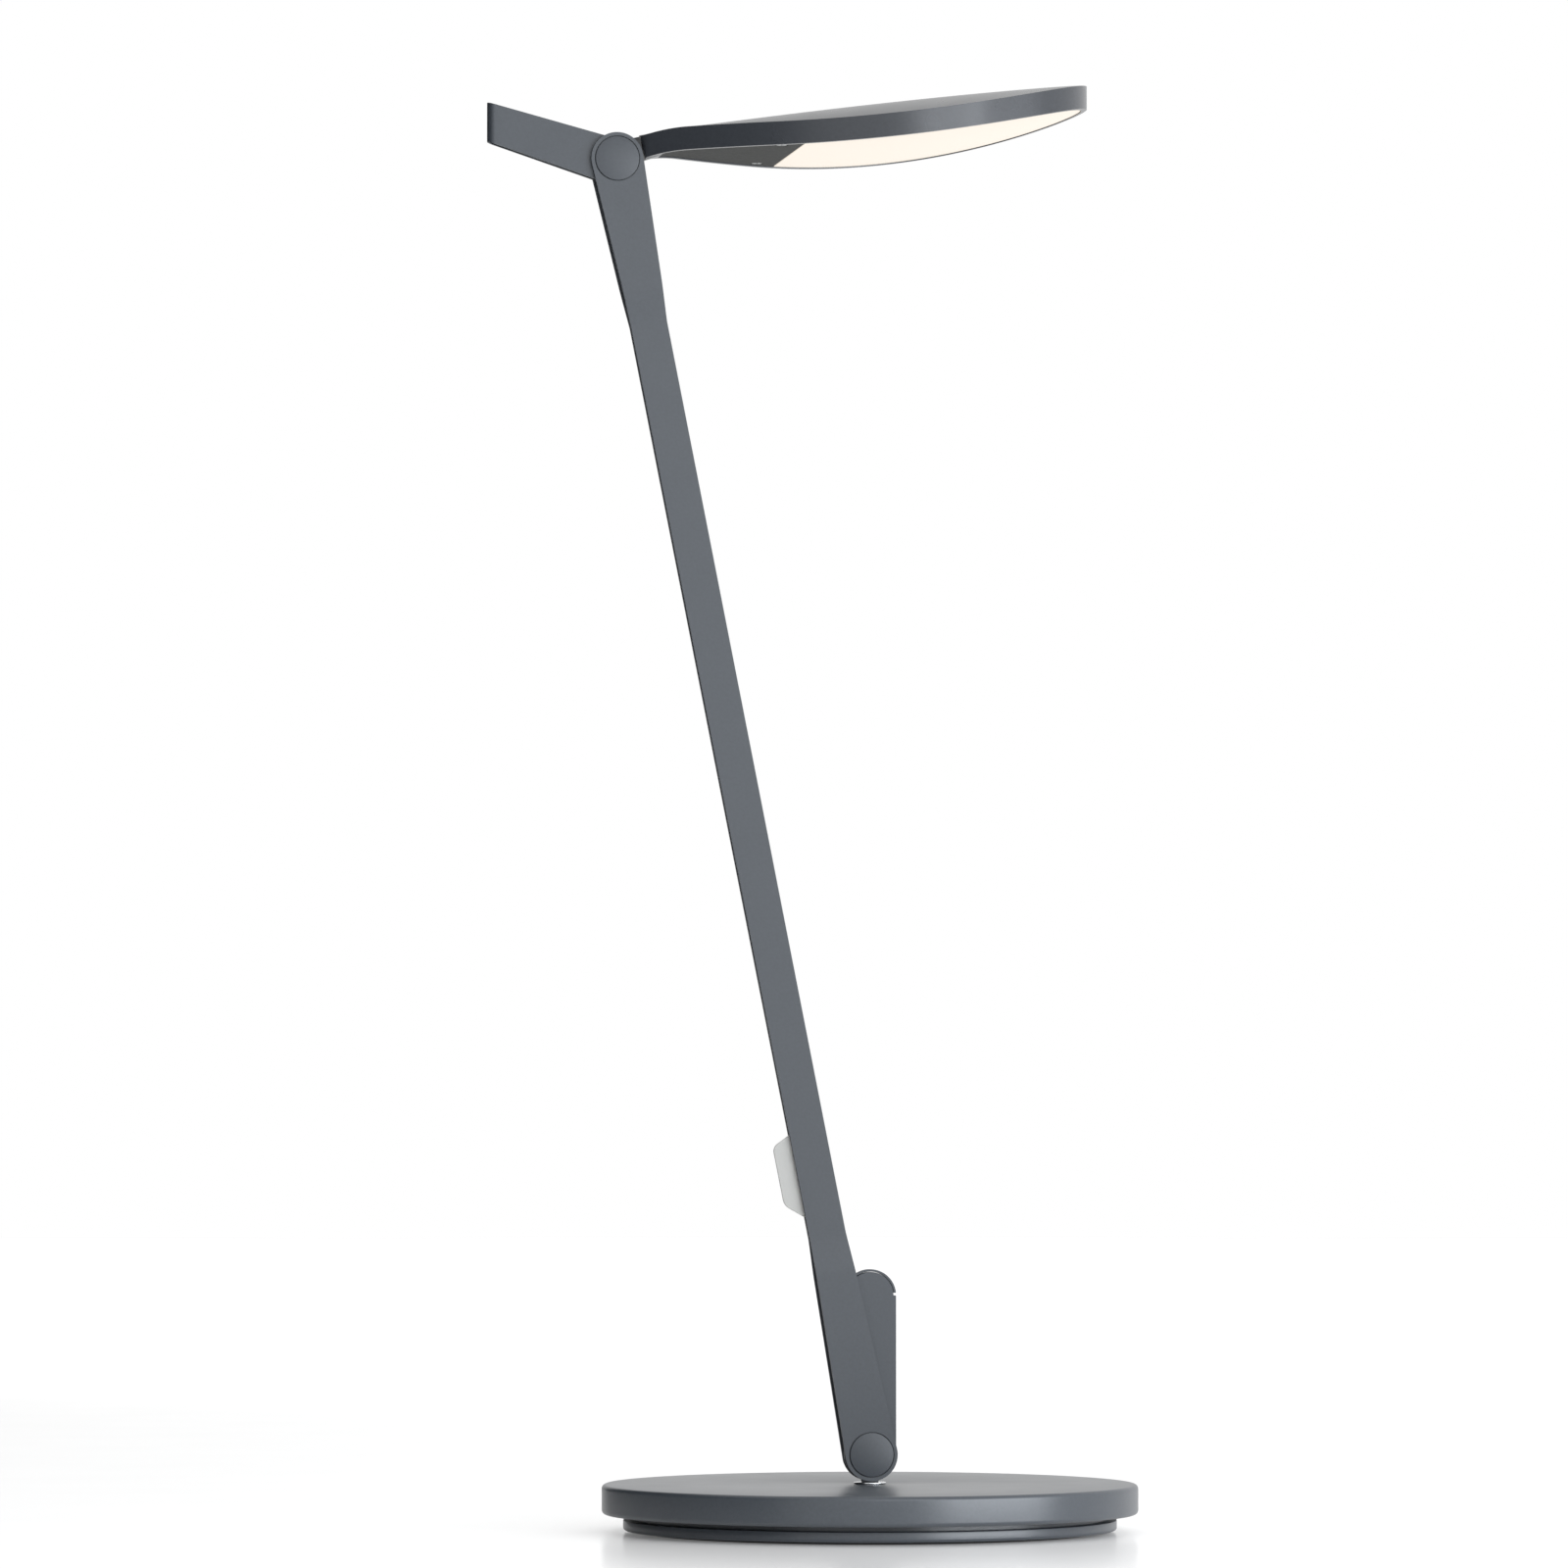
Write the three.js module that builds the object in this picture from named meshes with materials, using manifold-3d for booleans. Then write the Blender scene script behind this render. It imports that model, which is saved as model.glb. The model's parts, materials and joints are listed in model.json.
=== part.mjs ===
// Swing arm desk lamp: a round weighted base, a short swivelling post, a slender arm that
// splits into a fork at each end, and a leaf-shaped LED head with a loop handle behind it.
//
// Millimetres, +Z up. The origin is the centre of the foot pad, on the desk. The head points
// along +X and the arm's pivots turn about Y. "Near" is the -Y side, "far" the +Y side.

import * as THREE from 'three';
import { mergeVertices } from 'three/addons/utils/BufferGeometryUtils.js';
import Module from 'manifold-3d';

const wasm = await Module();
wasm.setup();

// ---------------------------------------------------------------- driving dimensions

const fit = 0.3; // clearance between a piece and what it sits in or turns against
const seat = 0.1; // clearance under a piece that rests flat on another
const over = 1; // how far a cutting tool runs past what it cuts
const far = 250; // half size of a block that cuts away everything on one side
const round = 36; // facets round a small circle
const wideRound = 72; // facets round the base

// base, from the desk upwards; the plate, the groove and the pad are set in from the disc
const discRadius = 95;
const padInset = 15;
const padThickness = 0.8;
const plateInset = 7.6;
const plateThickness = 3.7;
const shadowGap = 2; // height of the dark groove between the plate and the disc
const grooveInset = 11.5;
const discThickness = 10.5;
const discEdge = 1.5; // radius rolled round the disc's edges
const plateEdge = 1.1;

// things inside the base
const pocket = { halfWidth: 27, front: 34, depth: 8.2, wall: 15 }; // wall: pocket to rim
const boardThickness = 1.6;
const boardMargin = 2.5;
const standoff = 1.4;
const partDrop = 3.4; // how far the parts on the board hang below it
const choke = { x: -11, width: 10 };
const capacitor = { x: 12, radius: 3 };
const partsFromFront = 11; // their centres, from the front of the pocket
const jackBody = { width: 11, length: 13, height: 6.8 };
const jackBarrelRadius = 4.2;
const jackBore = { radius: 3.3, depth: 10, pinRadius: 1, pinLength: 4 };
const rimInset = 1.4; // the jack's mouth sits this far inside the rim
const screwInset = 23; // rim to the screws' centres
const screwRadius = 2;
const screwHead = { radius: 3.6, height: 1.6 };
const screwBite = 5;

// swivel stem
const stemRadius = 4.6;
const collarRadius = 5.7;
const collarThickness = 0.55;
const swivelWell = { radius: 15, roof: 6.2 }; // roof: metal left above the well
const washerRadius = 10;
const washerThickness = 1;
const nutRadius = 8;
const nutThickness = 3.2;
const tenon = { width: 6, length: 6 };

// pivots shared by the post, the arm, the loop and the hub
const knuckleRadius = 9.3;
const knuckleLift = 1.1; // knuckle above the top of the base
const axleRadius = 3;
const capRadius = 7.8;
const capRecess = 0.7;
const capProud = 0.25;

// post
const postHeight = 56.2; // lower pivot to the centre of the rounded top
const postThickness = 2.4;
const postCapThickness = 0.8;
const postCapSweep = 84; // degrees each side of straight up
const pivotWasherRadius = 7.4;

// arm
const armLength = 467.8; // pivot to pivot
const armLean = 11.24; // degrees from upright, towards -X
const bladeThickness = 1.4;
const forkGap = 5.6; // between the blades at the pivots
const barGap = 1.8; // between the blades along the bar
const barWidth = 13;
const lowerSplit = 79; // lower pivot to where the bar splits
const upperSplit = 60; // upper pivot to where the bar splits
const splayLength = 14; // length over which a blade steps outwards
const spacerInset = 0.6;
const ribbon = { width: 5, thickness: 0.5, offset: 2.3, fromBlade: 0.2 };

// clear tab that stands out of the back of the bar, by its heights along the arm
const tab = { foot: 86.8, head: 116.5, outerFoot: 92.4, outerHead: 113.4, reach: 6.5, root: 4.4,
  corner: 2.4 };

// loop handle behind the head
const loop = { endX: -46, endTop: 19.3, endBottom: 5.4, topOffset: 6.9, strip: 0.9 };

// roll axis of the head, seen from the upper pivot
const rollPitch = 12; // degrees above level
const rollHeight = 2.86; // above the pivot, straight over it
const hubFlangeRadius = 3.4;
const spigotRadius = 1.4;
const spigotLength = 6;
const neckBeyond = 0.1; // how far the neck's face stands out past the knuckle's radius
const hubThickness = 2.6;
const hubShoulder = 0.7; // how much smaller than the knuckle the hub's disc is
const keeper = { radius: 1.75, thickness: 0.6 };
const keeperScrew = { radius: 0.7, headRadius: 1.4, headHeight: 0.9, length: 5 };

// leaf-shaped head: stations are measured along +X from the upper pivot
const headTip = 169;
const headBroadest = 114;
const headHalfWidth = 53.6;
const neckOverrun = 1.4; // the leaf is drawn this far back past the neck's face, which cuts it
const neckHalfWidth = 2.4;
const shoulder = { along: 14, across: 12.6 }; // how the leaf opens out from its neck
const flankPull = 0.6; // share of the way to the broadest place where the flank's curve is pulled to
const nosePull = { along: 0.6, across: 0.56 }; // the same for the rounded nose
const rimHeight = 8.15;
const underside = { level: 2.3, bendStart: 52, bendRadius: 397 };
const neckDip = { start: 24, length: 14, depth: 1.9 }; // the rim curves down towards the neck
const spine = { start: 12, startHeight: 9.3, rise: 19.3, bow: 1.4 };
const shellWall = 2;
const shellRoof = 1.5;
const panelSeam = 62.5; // station where the cover meets the diffuser
const panelThickness = 1.6;
const panelRecess = 0.35;
const guideThickness = 2;
const reflectorThickness = 0.6;
const layerGap = 0.3;
const ledStrip = { width: 5, thickness: 1.2, inset: 1.2, fromWall: 4 };
const driver = { station: 40, length: 12, width: 20, thickness: 1.6 };
const driverChip = { margin: 3, halfWidth: 4, height: 2 };
const coverScrew = { station: 55, across: 28.5, radius: 1, headRadius: 1.9, headHeight: 0.9, length: 5 };

// ---------------------------------------------------------------- derived sizes

const padRadius = discRadius - padInset;
const plateRadius = discRadius - plateInset;
const grooveRadius = discRadius - grooveInset;
const screwCircle = discRadius - screwInset;
const plateBottom = padThickness + seat;
const plateTop = plateBottom + plateThickness;
const spigotBottom = plateTop + seat;
const discBottom = plateBottom + plateThickness + shadowGap;
const discTop = discBottom + discThickness;
const lowerPivotZ = discTop + knuckleLift + knuckleRadius;
const forkHalfGap = forkGap / 2;
const barHalfGap = barGap / 2;
const forkHalfOuter = forkHalfGap + bladeThickness;
const halfPost = postThickness / 2;
const loopHalfWidth = forkHalfGap - fit;
const neckFace = knuckleRadius + neckBeyond; // along the roll axis, from over the pivot
const neckStation = neckFace - neckOverrun;
const deg = Math.PI / 180;

// ---------------------------------------------------------------- solids

const axes = {
  x: new THREE.Matrix4().makeBasis(
    new THREE.Vector3(0, 1, 0), new THREE.Vector3(0, 0, 1), new THREE.Vector3(1, 0, 0)),
  y: new THREE.Matrix4().makeBasis(
    new THREE.Vector3(1, 0, 0), new THREE.Vector3(0, 0, 1), new THREE.Vector3(0, -1, 0)),
  z: new THREE.Matrix4(),
};

// A closed geometry becomes a solid: shared corners are merged, slivers with two equal corners
// are dropped, and the faces are turned to point outwards.
function solid(geometry) {
  const bare = geometry.clone();
  bare.deleteAttribute('normal');
  bare.deleteAttribute('uv');
  const merged = mergeVertices(bare, 1e-4);
  const corners = merged.getAttribute('position');
  const faces = [];
  const index = merged.index.array;
  let volume = 0;
  const [a, b, c] = [new THREE.Vector3(), new THREE.Vector3(), new THREE.Vector3()];
  for (let i = 0; i < index.length; i += 3) {
    const [p, q, r] = [index[i], index[i + 1], index[i + 2]];
    if (p === q || q === r || r === p) continue;
    faces.push(p, q, r);
    a.fromBufferAttribute(corners, p);
    b.fromBufferAttribute(corners, q);
    c.fromBufferAttribute(corners, r);
    volume += a.dot(b.cross(c));
  }
  if (volume < 0) {
    for (let i = 0; i < faces.length; i += 3) [faces[i], faces[i + 1]] = [faces[i + 1], faces[i]];
  }
  return new wasm.Manifold(new wasm.Mesh({
    numProp: 3,
    vertProperties: new Float32Array(corners.array),
    triVerts: new Uint32Array(faces),
  }));
}

function geometryOf(body) {
  const mesh = body.getMesh();
  const geometry = new THREE.BufferGeometry();
  geometry.setAttribute('position', new THREE.BufferAttribute(new Float32Array(mesh.vertProperties), 3));
  geometry.setIndex(new THREE.BufferAttribute(new Uint32Array(mesh.triVerts), 1));
  geometry.computeVertexNormals();
  return geometry;
}

// An outline pushed along one axis. Along "y" the outline is drawn in X and Z, along "x" in Y
// and Z, along "z" in X and Y.
function prism(shape, along, from, to, curveSegments = 10) {
  const geometry = new THREE.ExtrudeGeometry(shape, { depth: to - from, bevelEnabled: false, curveSegments });
  geometry.translate(0, 0, along === 'y' ? -to : from);
  return solid(geometry.applyMatrix4(axes[along]));
}

function box(x0, x1, y0, y1, z0, z1) {
  const geometry = new THREE.BoxGeometry(x1 - x0, y1 - y0, z1 - z0);
  return solid(geometry.translate((x0 + x1) / 2, (y0 + y1) / 2, (z0 + z1) / 2));
}

function rodY(radius, y0, y1, x = 0, z = 0, facets = round) {
  const geometry = new THREE.CylinderGeometry(radius, radius, y1 - y0, facets);
  return solid(geometry.translate(x, (y0 + y1) / 2, z));
}

function rodZ(radius, z0, z1, x = 0, y = 0, facets = round) {
  const geometry = new THREE.CylinderGeometry(radius, radius, z1 - z0, facets);
  return solid(geometry.rotateX(Math.PI / 2).translate(x, y, (z0 + z1) / 2));
}

function rodX(radius, x0, x1, facets = round) {
  const geometry = new THREE.CylinderGeometry(radius, radius, x1 - x0, facets);
  return solid(geometry.rotateZ(Math.PI / 2).translate((x0 + x1) / 2, 0, 0));
}

// A profile of [radius, height] pairs turned about the Z axis.
function turned(profile, facets) {
  const geometry = new THREE.LatheGeometry(profile.map(([r, z]) => new THREE.Vector2(r, z)), facets);
  return solid(geometry.rotateX(Math.PI / 2));
}

// A quarter circle in a turned profile, from one angle to another.
function corner(r, z, radius, fromDeg, toDeg, steps = 3) {
  return Array.from({ length: steps + 1 }, (_, i) => {
    const angle = (fromDeg + ((toDeg - fromDeg) * i) / steps) * deg;
    return [r + radius * Math.cos(angle), z + radius * Math.sin(angle)];
  });
}

// A flat ring about the pivot axis.
function ringY(outer, inner, y0, y1) {
  return rodY(outer, y0, y1).subtract(rodY(inner, y0 - 1, y1 + 1));
}

const mirroredY = (body) => body.mirror([0, 1, 0]);

// ---------------------------------------------------------------- finishes

const finishes = {
  paint: { color: 0x666b70, roughness: 0.42, metalness: 0.35 },
  chrome: { color: 0xc9ccd0, roughness: 0.12, metalness: 1 },
  steel: { color: 0x9a9da1, roughness: 0.35, metalness: 1 },
  black: { color: 0x17181a, roughness: 0.5, metalness: 0.1 },
  rubber: { color: 0x202122, roughness: 0.9, metalness: 0 },
  nylon: { color: 0xe4e2da, roughness: 0.55, metalness: 0 },
  board: { color: 0x1f5a3a, roughness: 0.6, metalness: 0 },
  clear: { color: 0xc6c6c2, roughness: 0.3, metalness: 0 },
  diffuser: { color: 0xfffaf0, roughness: 0.5, metalness: 0 },
  cover: { color: 0x6b6d6b, roughness: 0.55, metalness: 0 },
};

const lamp = new THREE.Group();

function piece(parent, name, body, finish) {
  const mesh = new THREE.Mesh(geometryOf(body), new THREE.MeshStandardMaterial(finishes[finish]));
  mesh.name = name;
  parent.add(mesh);
}

// ---------------------------------------------------------------- base

const base = new THREE.Group();
lamp.add(base);

const pocketBack = discRadius - pocket.wall;
const wellTop = discTop - swivelWell.roof;
const jackZ = spigotBottom + pocket.depth - jackBody.height / 2 - seat;
const jackMouth = discRadius - rimInset;
const screwHeadTop = plateBottom + screwHead.height;
const screwSpots = [30, 150, 270].map((angle) => [
  screwCircle * Math.cos(angle * deg),
  screwCircle * Math.sin(angle * deg),
]);

const discProfile = [
  [0, spigotBottom],
  [grooveRadius, spigotBottom],
  [grooveRadius, discBottom],
  ...corner(discRadius - discEdge, discBottom + discEdge, discEdge, -90, 0),
  ...corner(discRadius - discEdge, discTop - discEdge, discEdge, 0, 90),
  [0, discTop],
];
let disc = turned(discProfile, wideRound)
  .subtract(rodZ(stemRadius + fit, spigotBottom - over, discTop + over))
  .subtract(rodZ(swivelWell.radius, spigotBottom - over, wellTop))
  .subtract(box(-pocket.halfWidth, pocket.halfWidth, pocket.front, pocketBack,
    spigotBottom - over, spigotBottom + pocket.depth))
  .subtract(rodY(jackBarrelRadius + fit, pocketBack - over, discRadius + over, 0, jackZ, 24));
for (const [x, y] of screwSpots) {
  disc = disc
    .subtract(rodZ(screwRadius + fit, spigotBottom - over, spigotBottom + screwBite + fit, x, y, 16));
}
piece(base, 'base_disc', disc, 'paint');

// The plate closes the disc from below. Each screw head lies in a well in its underside.
let plate = turned([
  [0, plateBottom],
  ...corner(plateRadius - plateEdge, plateBottom + plateEdge, plateEdge, -90, 0),
  [plateRadius, plateTop],
  [0, plateTop],
], wideRound);
for (const [x, y] of screwSpots) {
  plate = plate
    .subtract(rodZ(screwRadius + fit, plateBottom - over, plateTop + over, x, y, 16))
    .subtract(rodZ(screwHead.radius + fit, plateBottom - over, screwHeadTop + seat, x, y, 24));
}
piece(base, 'base_plate', plate, 'paint');

screwSpots.forEach(([x, y], i) => {
  const screw = rodZ(screwHead.radius, plateBottom + seat, screwHeadTop, x, y, 24)
    .add(rodZ(screwRadius, plateBottom + seat, spigotBottom + screwBite, x, y, 16));
  piece(base, `base_screw_${i + 1}`, screw, 'steel');
});

piece(base, 'foot_pad', rodZ(padRadius, 0, padThickness, 0, 0, wideRound), 'rubber');

// Power socket in the rear of the rim, with its contact pin at the bottom of the bore.
const jackBack = pocketBack - fit;
const boreEnd = jackMouth - jackBore.depth;
const jack = box(-jackBody.width / 2, jackBody.width / 2, jackBack - jackBody.length, jackBack,
  jackZ - jackBody.height / 2, jackZ + jackBody.height / 2)
  .add(rodY(jackBarrelRadius, jackBack - seat, jackMouth, 0, jackZ, 24))
  .subtract(rodY(jackBore.radius, boreEnd, jackMouth + over, 0, jackZ, 24))
  .add(rodY(jackBore.pinRadius, boreEnd - over, boreEnd + jackBore.pinLength, 0, jackZ, 12));
piece(base, 'dc_inlet', jack, 'black');

// Control board beside the socket, with its choke and capacitor hanging under it.
const boardBack = jackBack - jackBody.length - fit;
const boardTop = spigotBottom + pocket.depth - standoff;
const partsY = pocket.front + partsFromFront;
const partsBottom = boardTop - boardThickness - partDrop;
const board = box(-pocket.halfWidth + boardMargin, pocket.halfWidth - boardMargin,
  pocket.front + boardMargin, boardBack, boardTop - boardThickness, boardTop)
  .add(box(choke.x - choke.width / 2, choke.x + choke.width / 2, partsY - choke.width / 2,
    partsY + choke.width / 2, partsBottom, boardTop - boardThickness / 2))
  .add(rodZ(capacitor.radius, partsBottom, boardTop - boardThickness / 2, capacitor.x, partsY, 16));
piece(base, 'control_board', board, 'board');

// ---------------------------------------------------------------- swivel and post

const swivel = new THREE.Group();
lamp.add(swivel);

const collarBottom = discTop + seat;
const collarTop = collarBottom + collarThickness;
const nutTop = wellTop - washerThickness - 2 * seat;
const stemBottom = nutTop - nutThickness;
const tenonBottom = collarTop - tenon.length;
const halfTenon = tenon.width / 2;

const stem = rodZ(collarRadius, collarBottom, collarTop)
  .add(rodZ(stemRadius, stemBottom, collarTop))
  .subtract(box(-halfTenon - fit, halfTenon + fit, -halfPost - fit, halfPost + fit,
    tenonBottom - fit, collarTop + over));
piece(swivel, 'swivel_stem', stem, 'chrome');

const swivelWasher = rodZ(washerRadius, nutTop + seat, nutTop + seat + washerThickness)
  .subtract(rodZ(stemRadius + fit, nutTop - over, wellTop + over));
piece(swivel, 'swivel_washer', swivelWasher, 'nylon');

const nut = rodZ(nutRadius, stemBottom, nutTop, 0, 0, 6)
  .subtract(rodZ(stemRadius + fit, stemBottom - over, nutTop + over));
piece(swivel, 'swivel_nut', nut, 'steel');

const post = new THREE.Group();
post.position.z = lowerPivotZ;
swivel.add(post);

// The post's rounded top is set in, so that its edge cap finishes flush with its sides.
const postCapOuter = knuckleRadius;
const postCapInner = postCapOuter - postCapThickness;
const postCapStart = (90 - postCapSweep) * deg;
const postCapEnd = (90 + postCapSweep) * deg;
const tenonAngle = Math.asin(halfTenon / knuckleRadius);
const postOutline = new THREE.Shape();
postOutline.absarc(0, 0, knuckleRadius, -Math.PI, -Math.PI / 2 - tenonAngle, false);
postOutline.lineTo(-halfTenon, tenonBottom - lowerPivotZ);
postOutline.lineTo(halfTenon, tenonBottom - lowerPivotZ);
postOutline.absarc(0, 0, knuckleRadius, -Math.PI / 2 + tenonAngle, 0, false);
postOutline.lineTo(knuckleRadius, postHeight);
postOutline.absarc(0, postHeight, postCapInner - fit / 2, 0, Math.PI, false);
postOutline.lineTo(-knuckleRadius, postHeight);
const postBody = prism(postOutline, 'y', -halfPost, halfPost, 12)
  .subtract(rodY(axleRadius + fit, -halfPost - over, halfPost + over));
piece(post, 'post', postBody, 'paint');

const postCapShape = new THREE.Shape();
postCapShape.absarc(0, postHeight, postCapOuter, postCapStart, postCapEnd, false);
postCapShape.absarc(0, postHeight, postCapInner, postCapEnd, postCapStart, true);
piece(post, 'post_cap', prism(postCapShape, 'y', -halfPost, halfPost, 16), 'paint');

const axleHalfLength = forkHalfOuter - capRecess;
piece(post, 'lower_axle', rodY(axleRadius, -axleHalfLength, axleHalfLength, 0, 0, 24), 'steel');

const pivotWasher = ringY(pivotWasherRadius, axleRadius + fit, halfPost + fit, forkHalfGap - fit);
piece(post, 'pivot_washer_far', pivotWasher, 'nylon');
piece(post, 'pivot_washer_near', mirroredY(pivotWasher), 'nylon');

// ---------------------------------------------------------------- arm

const arm = new THREE.Group();
arm.position.z = lowerPivotZ;
arm.rotation.y = -armLean * deg;
lamp.add(arm);

// Side outline: a parallel bar that flares at each end onto a round knuckle, tangent to it.
function tangentAngle(distance, halfWidth) {
  const reach = Math.hypot(distance, halfWidth);
  return Math.atan2(halfWidth, distance) + Math.acos(knuckleRadius / reach);
}
const halfBar = barWidth / 2;
const lowerTangent = Math.PI / 2 - tangentAngle(lowerSplit, halfBar);
const upperTangent = Math.PI / 2 - tangentAngle(upperSplit, halfBar);
const bladeOutline = new THREE.Shape();
bladeOutline.absarc(0, 0, knuckleRadius, Math.PI - lowerTangent, lowerTangent, false);
bladeOutline.lineTo(halfBar, lowerSplit);
bladeOutline.lineTo(halfBar, armLength - upperSplit);
bladeOutline.absarc(0, armLength, knuckleRadius, -upperTangent, Math.PI + upperTangent, false);
bladeOutline.lineTo(-halfBar, armLength - upperSplit);
bladeOutline.lineTo(-halfBar, lowerSplit);

// Edge view of the far blade: it runs close to the middle and steps outwards at each fork.
const innerLine = [
  [forkHalfGap, -knuckleRadius - over],
  [forkHalfGap, lowerSplit - splayLength],
  [barHalfGap, lowerSplit],
  [barHalfGap, armLength - upperSplit],
  [forkHalfGap, armLength - upperSplit + splayLength],
  [forkHalfGap, armLength + knuckleRadius + over],
];
const bladeEdge = new THREE.Shape([
  ...innerLine.map(([y, z]) => new THREE.Vector2(y, z)),
  ...innerLine.map(([y, z]) => new THREE.Vector2(y + bladeThickness, z)).reverse(),
]);
let blade = prism(bladeOutline, 'y', 0, forkHalfOuter + over, 16)
  .intersect(prism(bladeEdge, 'x', -knuckleRadius - over, knuckleRadius + over));
for (const z of [0, armLength]) {
  blade = blade
    .subtract(rodY(axleRadius + fit, 0, forkHalfOuter + over, 0, z, 24))
    .subtract(rodY(capRadius + fit, forkHalfOuter - capRecess, forkHalfOuter + over, 0, z));
}
piece(arm, 'arm_blade_far', blade, 'paint');
piece(arm, 'arm_blade_near', mirroredY(blade), 'paint');

for (const [where, z] of [['lower', 0], ['upper', armLength]]) {
  const cap = rodY(capRadius, forkHalfOuter - capRecess + fit, forkHalfOuter + capProud, 0, z);
  piece(arm, `${where}_cap_far`, cap, 'paint');
  piece(arm, `${where}_cap_near`, mirroredY(cap), 'paint');
}

// Spacer between the blades, grooved for the flat lead and notched for the tab.
const spacerHalf = barHalfGap - fit;
const spacerEdge = halfBar - spacerInset;
const tabRoot = -halfBar + tab.root;
const leadOuter = -barHalfGap + ribbon.fromBlade;
const leadInner = leadOuter + ribbon.thickness;
const spacer = box(-spacerEdge, spacerEdge, -spacerHalf, spacerHalf,
  lowerSplit + spacerInset, armLength - upperSplit - spacerInset)
  .subtract(box(-halfBar, tabRoot + fit, -barHalfGap, barHalfGap, tab.foot - fit, tab.head + fit))
  .subtract(box(ribbon.offset - ribbon.width / 2 - fit, ribbon.offset + ribbon.width / 2 + fit,
    -spacerHalf - over, leadInner + fit, 0, armLength));
piece(arm, 'arm_spacer', spacer, 'paint');

const lead = box(ribbon.offset - ribbon.width / 2, ribbon.offset + ribbon.width / 2,
  leadOuter, leadInner, lowerSplit + 2 * spacerInset, armLength - upperSplit - 2 * spacerInset);
piece(arm, 'flat_lead', lead, 'black');

// Corners are [x, z, radius]; a radius is limited by the shorter side beside it.
function roundedPolygon(corners) {
  const shape = new THREE.Shape();
  corners.forEach(([x, z, radius], i) => {
    const here = new THREE.Vector2(x, z);
    const before = new THREE.Vector2(...corners.at(i - 1)).sub(here);
    const after = new THREE.Vector2(...corners[(i + 1) % corners.length]).sub(here);
    const bite = Math.min(radius, 0.45 * before.length(), 0.45 * after.length());
    const start = here.clone().add(before.setLength(bite));
    const end = here.clone().add(after.setLength(bite));
    if (i === 0) shape.moveTo(start.x, start.y);
    else shape.lineTo(start.x, start.y);
    if (radius > 0) shape.quadraticCurveTo(x, z, end.x, end.y);
  });
  return shape;
}
const tabOuter = -halfBar - tab.reach;
const tabOutline = roundedPolygon([
  [tabRoot, tab.foot, 0],
  [tabRoot, tab.head, 0],
  [-halfBar, tab.head, 0],
  [tabOuter, tab.outerHead, tab.corner],
  [tabOuter, tab.outerFoot, tab.corner],
  [-halfBar, tab.foot, 0],
]);
piece(arm, 'clear_tab', prism(tabOutline, 'y', -spacerHalf, spacerHalf, 5), 'clear');

// ---------------------------------------------------------------- loop and hub

const head = new THREE.Group();
head.position.set(-armLength * Math.sin(armLean * deg), 0, lowerPivotZ + armLength * Math.cos(armLean * deg));
lamp.add(head);

piece(head, 'upper_axle', rodY(axleRadius, -axleHalfLength, axleHalfLength, 0, 0, 24), 'steel');

// Side view of the loop: a tapering strip whose lower edge is tangent to the knuckle and whose
// upper edge passes topOffset above the pivot.
function besidePivot(x, z, radius, side) {
  const angle = Math.atan2(z, x) + side * Math.acos(radius / Math.hypot(x, z));
  return new THREE.Vector2(radius * Math.cos(angle), radius * Math.sin(angle));
}
const loopTaper = new THREE.Shape([
  new THREE.Vector2(loop.endX, loop.endTop),
  new THREE.Vector2(loop.endX, loop.endBottom),
  besidePivot(loop.endX, loop.endBottom, knuckleRadius, 1),
  besidePivot(loop.endX, loop.endTop, loop.topOffset, -1),
]);

// Plan of the loop: two strips joined by a half-round bend at the back.
const bendX = loop.endX + loopHalfWidth;
const loopPlan = new THREE.Shape();
loopPlan.moveTo(knuckleRadius + over, loopHalfWidth);
loopPlan.absarc(bendX, 0, loopHalfWidth, Math.PI / 2, 1.5 * Math.PI, false);
loopPlan.lineTo(knuckleRadius + over, -loopHalfWidth);
loopPlan.lineTo(knuckleRadius + over, -loopHalfWidth + loop.strip);
loopPlan.absarc(bendX, 0, loopHalfWidth - loop.strip, 1.5 * Math.PI, Math.PI / 2, true);
loopPlan.lineTo(knuckleRadius + over, loopHalfWidth - loop.strip);
const loopBody = prism(loopTaper, 'y', -forkHalfGap, forkHalfGap)
  .add(rodY(knuckleRadius, -forkHalfGap, forkHalfGap))
  .intersect(prism(loopPlan, 'z', -far, far, 10))
  .subtract(rodY(axleRadius + fit, -forkHalfGap, forkHalfGap, 0, 0, 24));
piece(head, 'loop_handle', loopBody, 'paint');

// Roll axis: local X runs out along the head from straight over the pivot.
const rollFrame = new THREE.Matrix4()
  .makeRotationY(-rollPitch * deg)
  .setPosition(0, 0, rollHeight);
const inRollFrame = (body) => body.transform(rollFrame.elements);

// The hub stays inside the fork's gap, so that the head can be tilted between the blades.
const hubHalf = hubThickness / 2;
const hubRadius = knuckleRadius - hubShoulder;
const flangeEnd = neckFace - fit;
const flange = inRollFrame(rodX(hubFlangeRadius, 0, flangeEnd, 24)
  .intersect(box(0, flangeEnd, -loopHalfWidth, loopHalfWidth, -hubFlangeRadius, hubFlangeRadius)))
  .subtract(rodY(knuckleRadius + fit, -forkGap, forkGap));
const tongue = inRollFrame(box(0, flangeEnd, -hubHalf, hubHalf, -hubFlangeRadius, hubFlangeRadius));
const spigot = inRollFrame(rodX(spigotRadius, flangeEnd - fit, neckFace + spigotLength, 16)
  .subtract(rodX(keeperScrew.radius + fit / 2, neckFace + spigotLength - keeperScrew.length - fit,
    neckFace + spigotLength + over, 12)));
const hub = rodY(hubRadius, -hubHalf, hubHalf)
  .add(tongue)
  .add(flange)
  .add(spigot)
  .subtract(rodY(axleRadius + fit, -forkGap, forkGap, 0, 0, 24));
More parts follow.
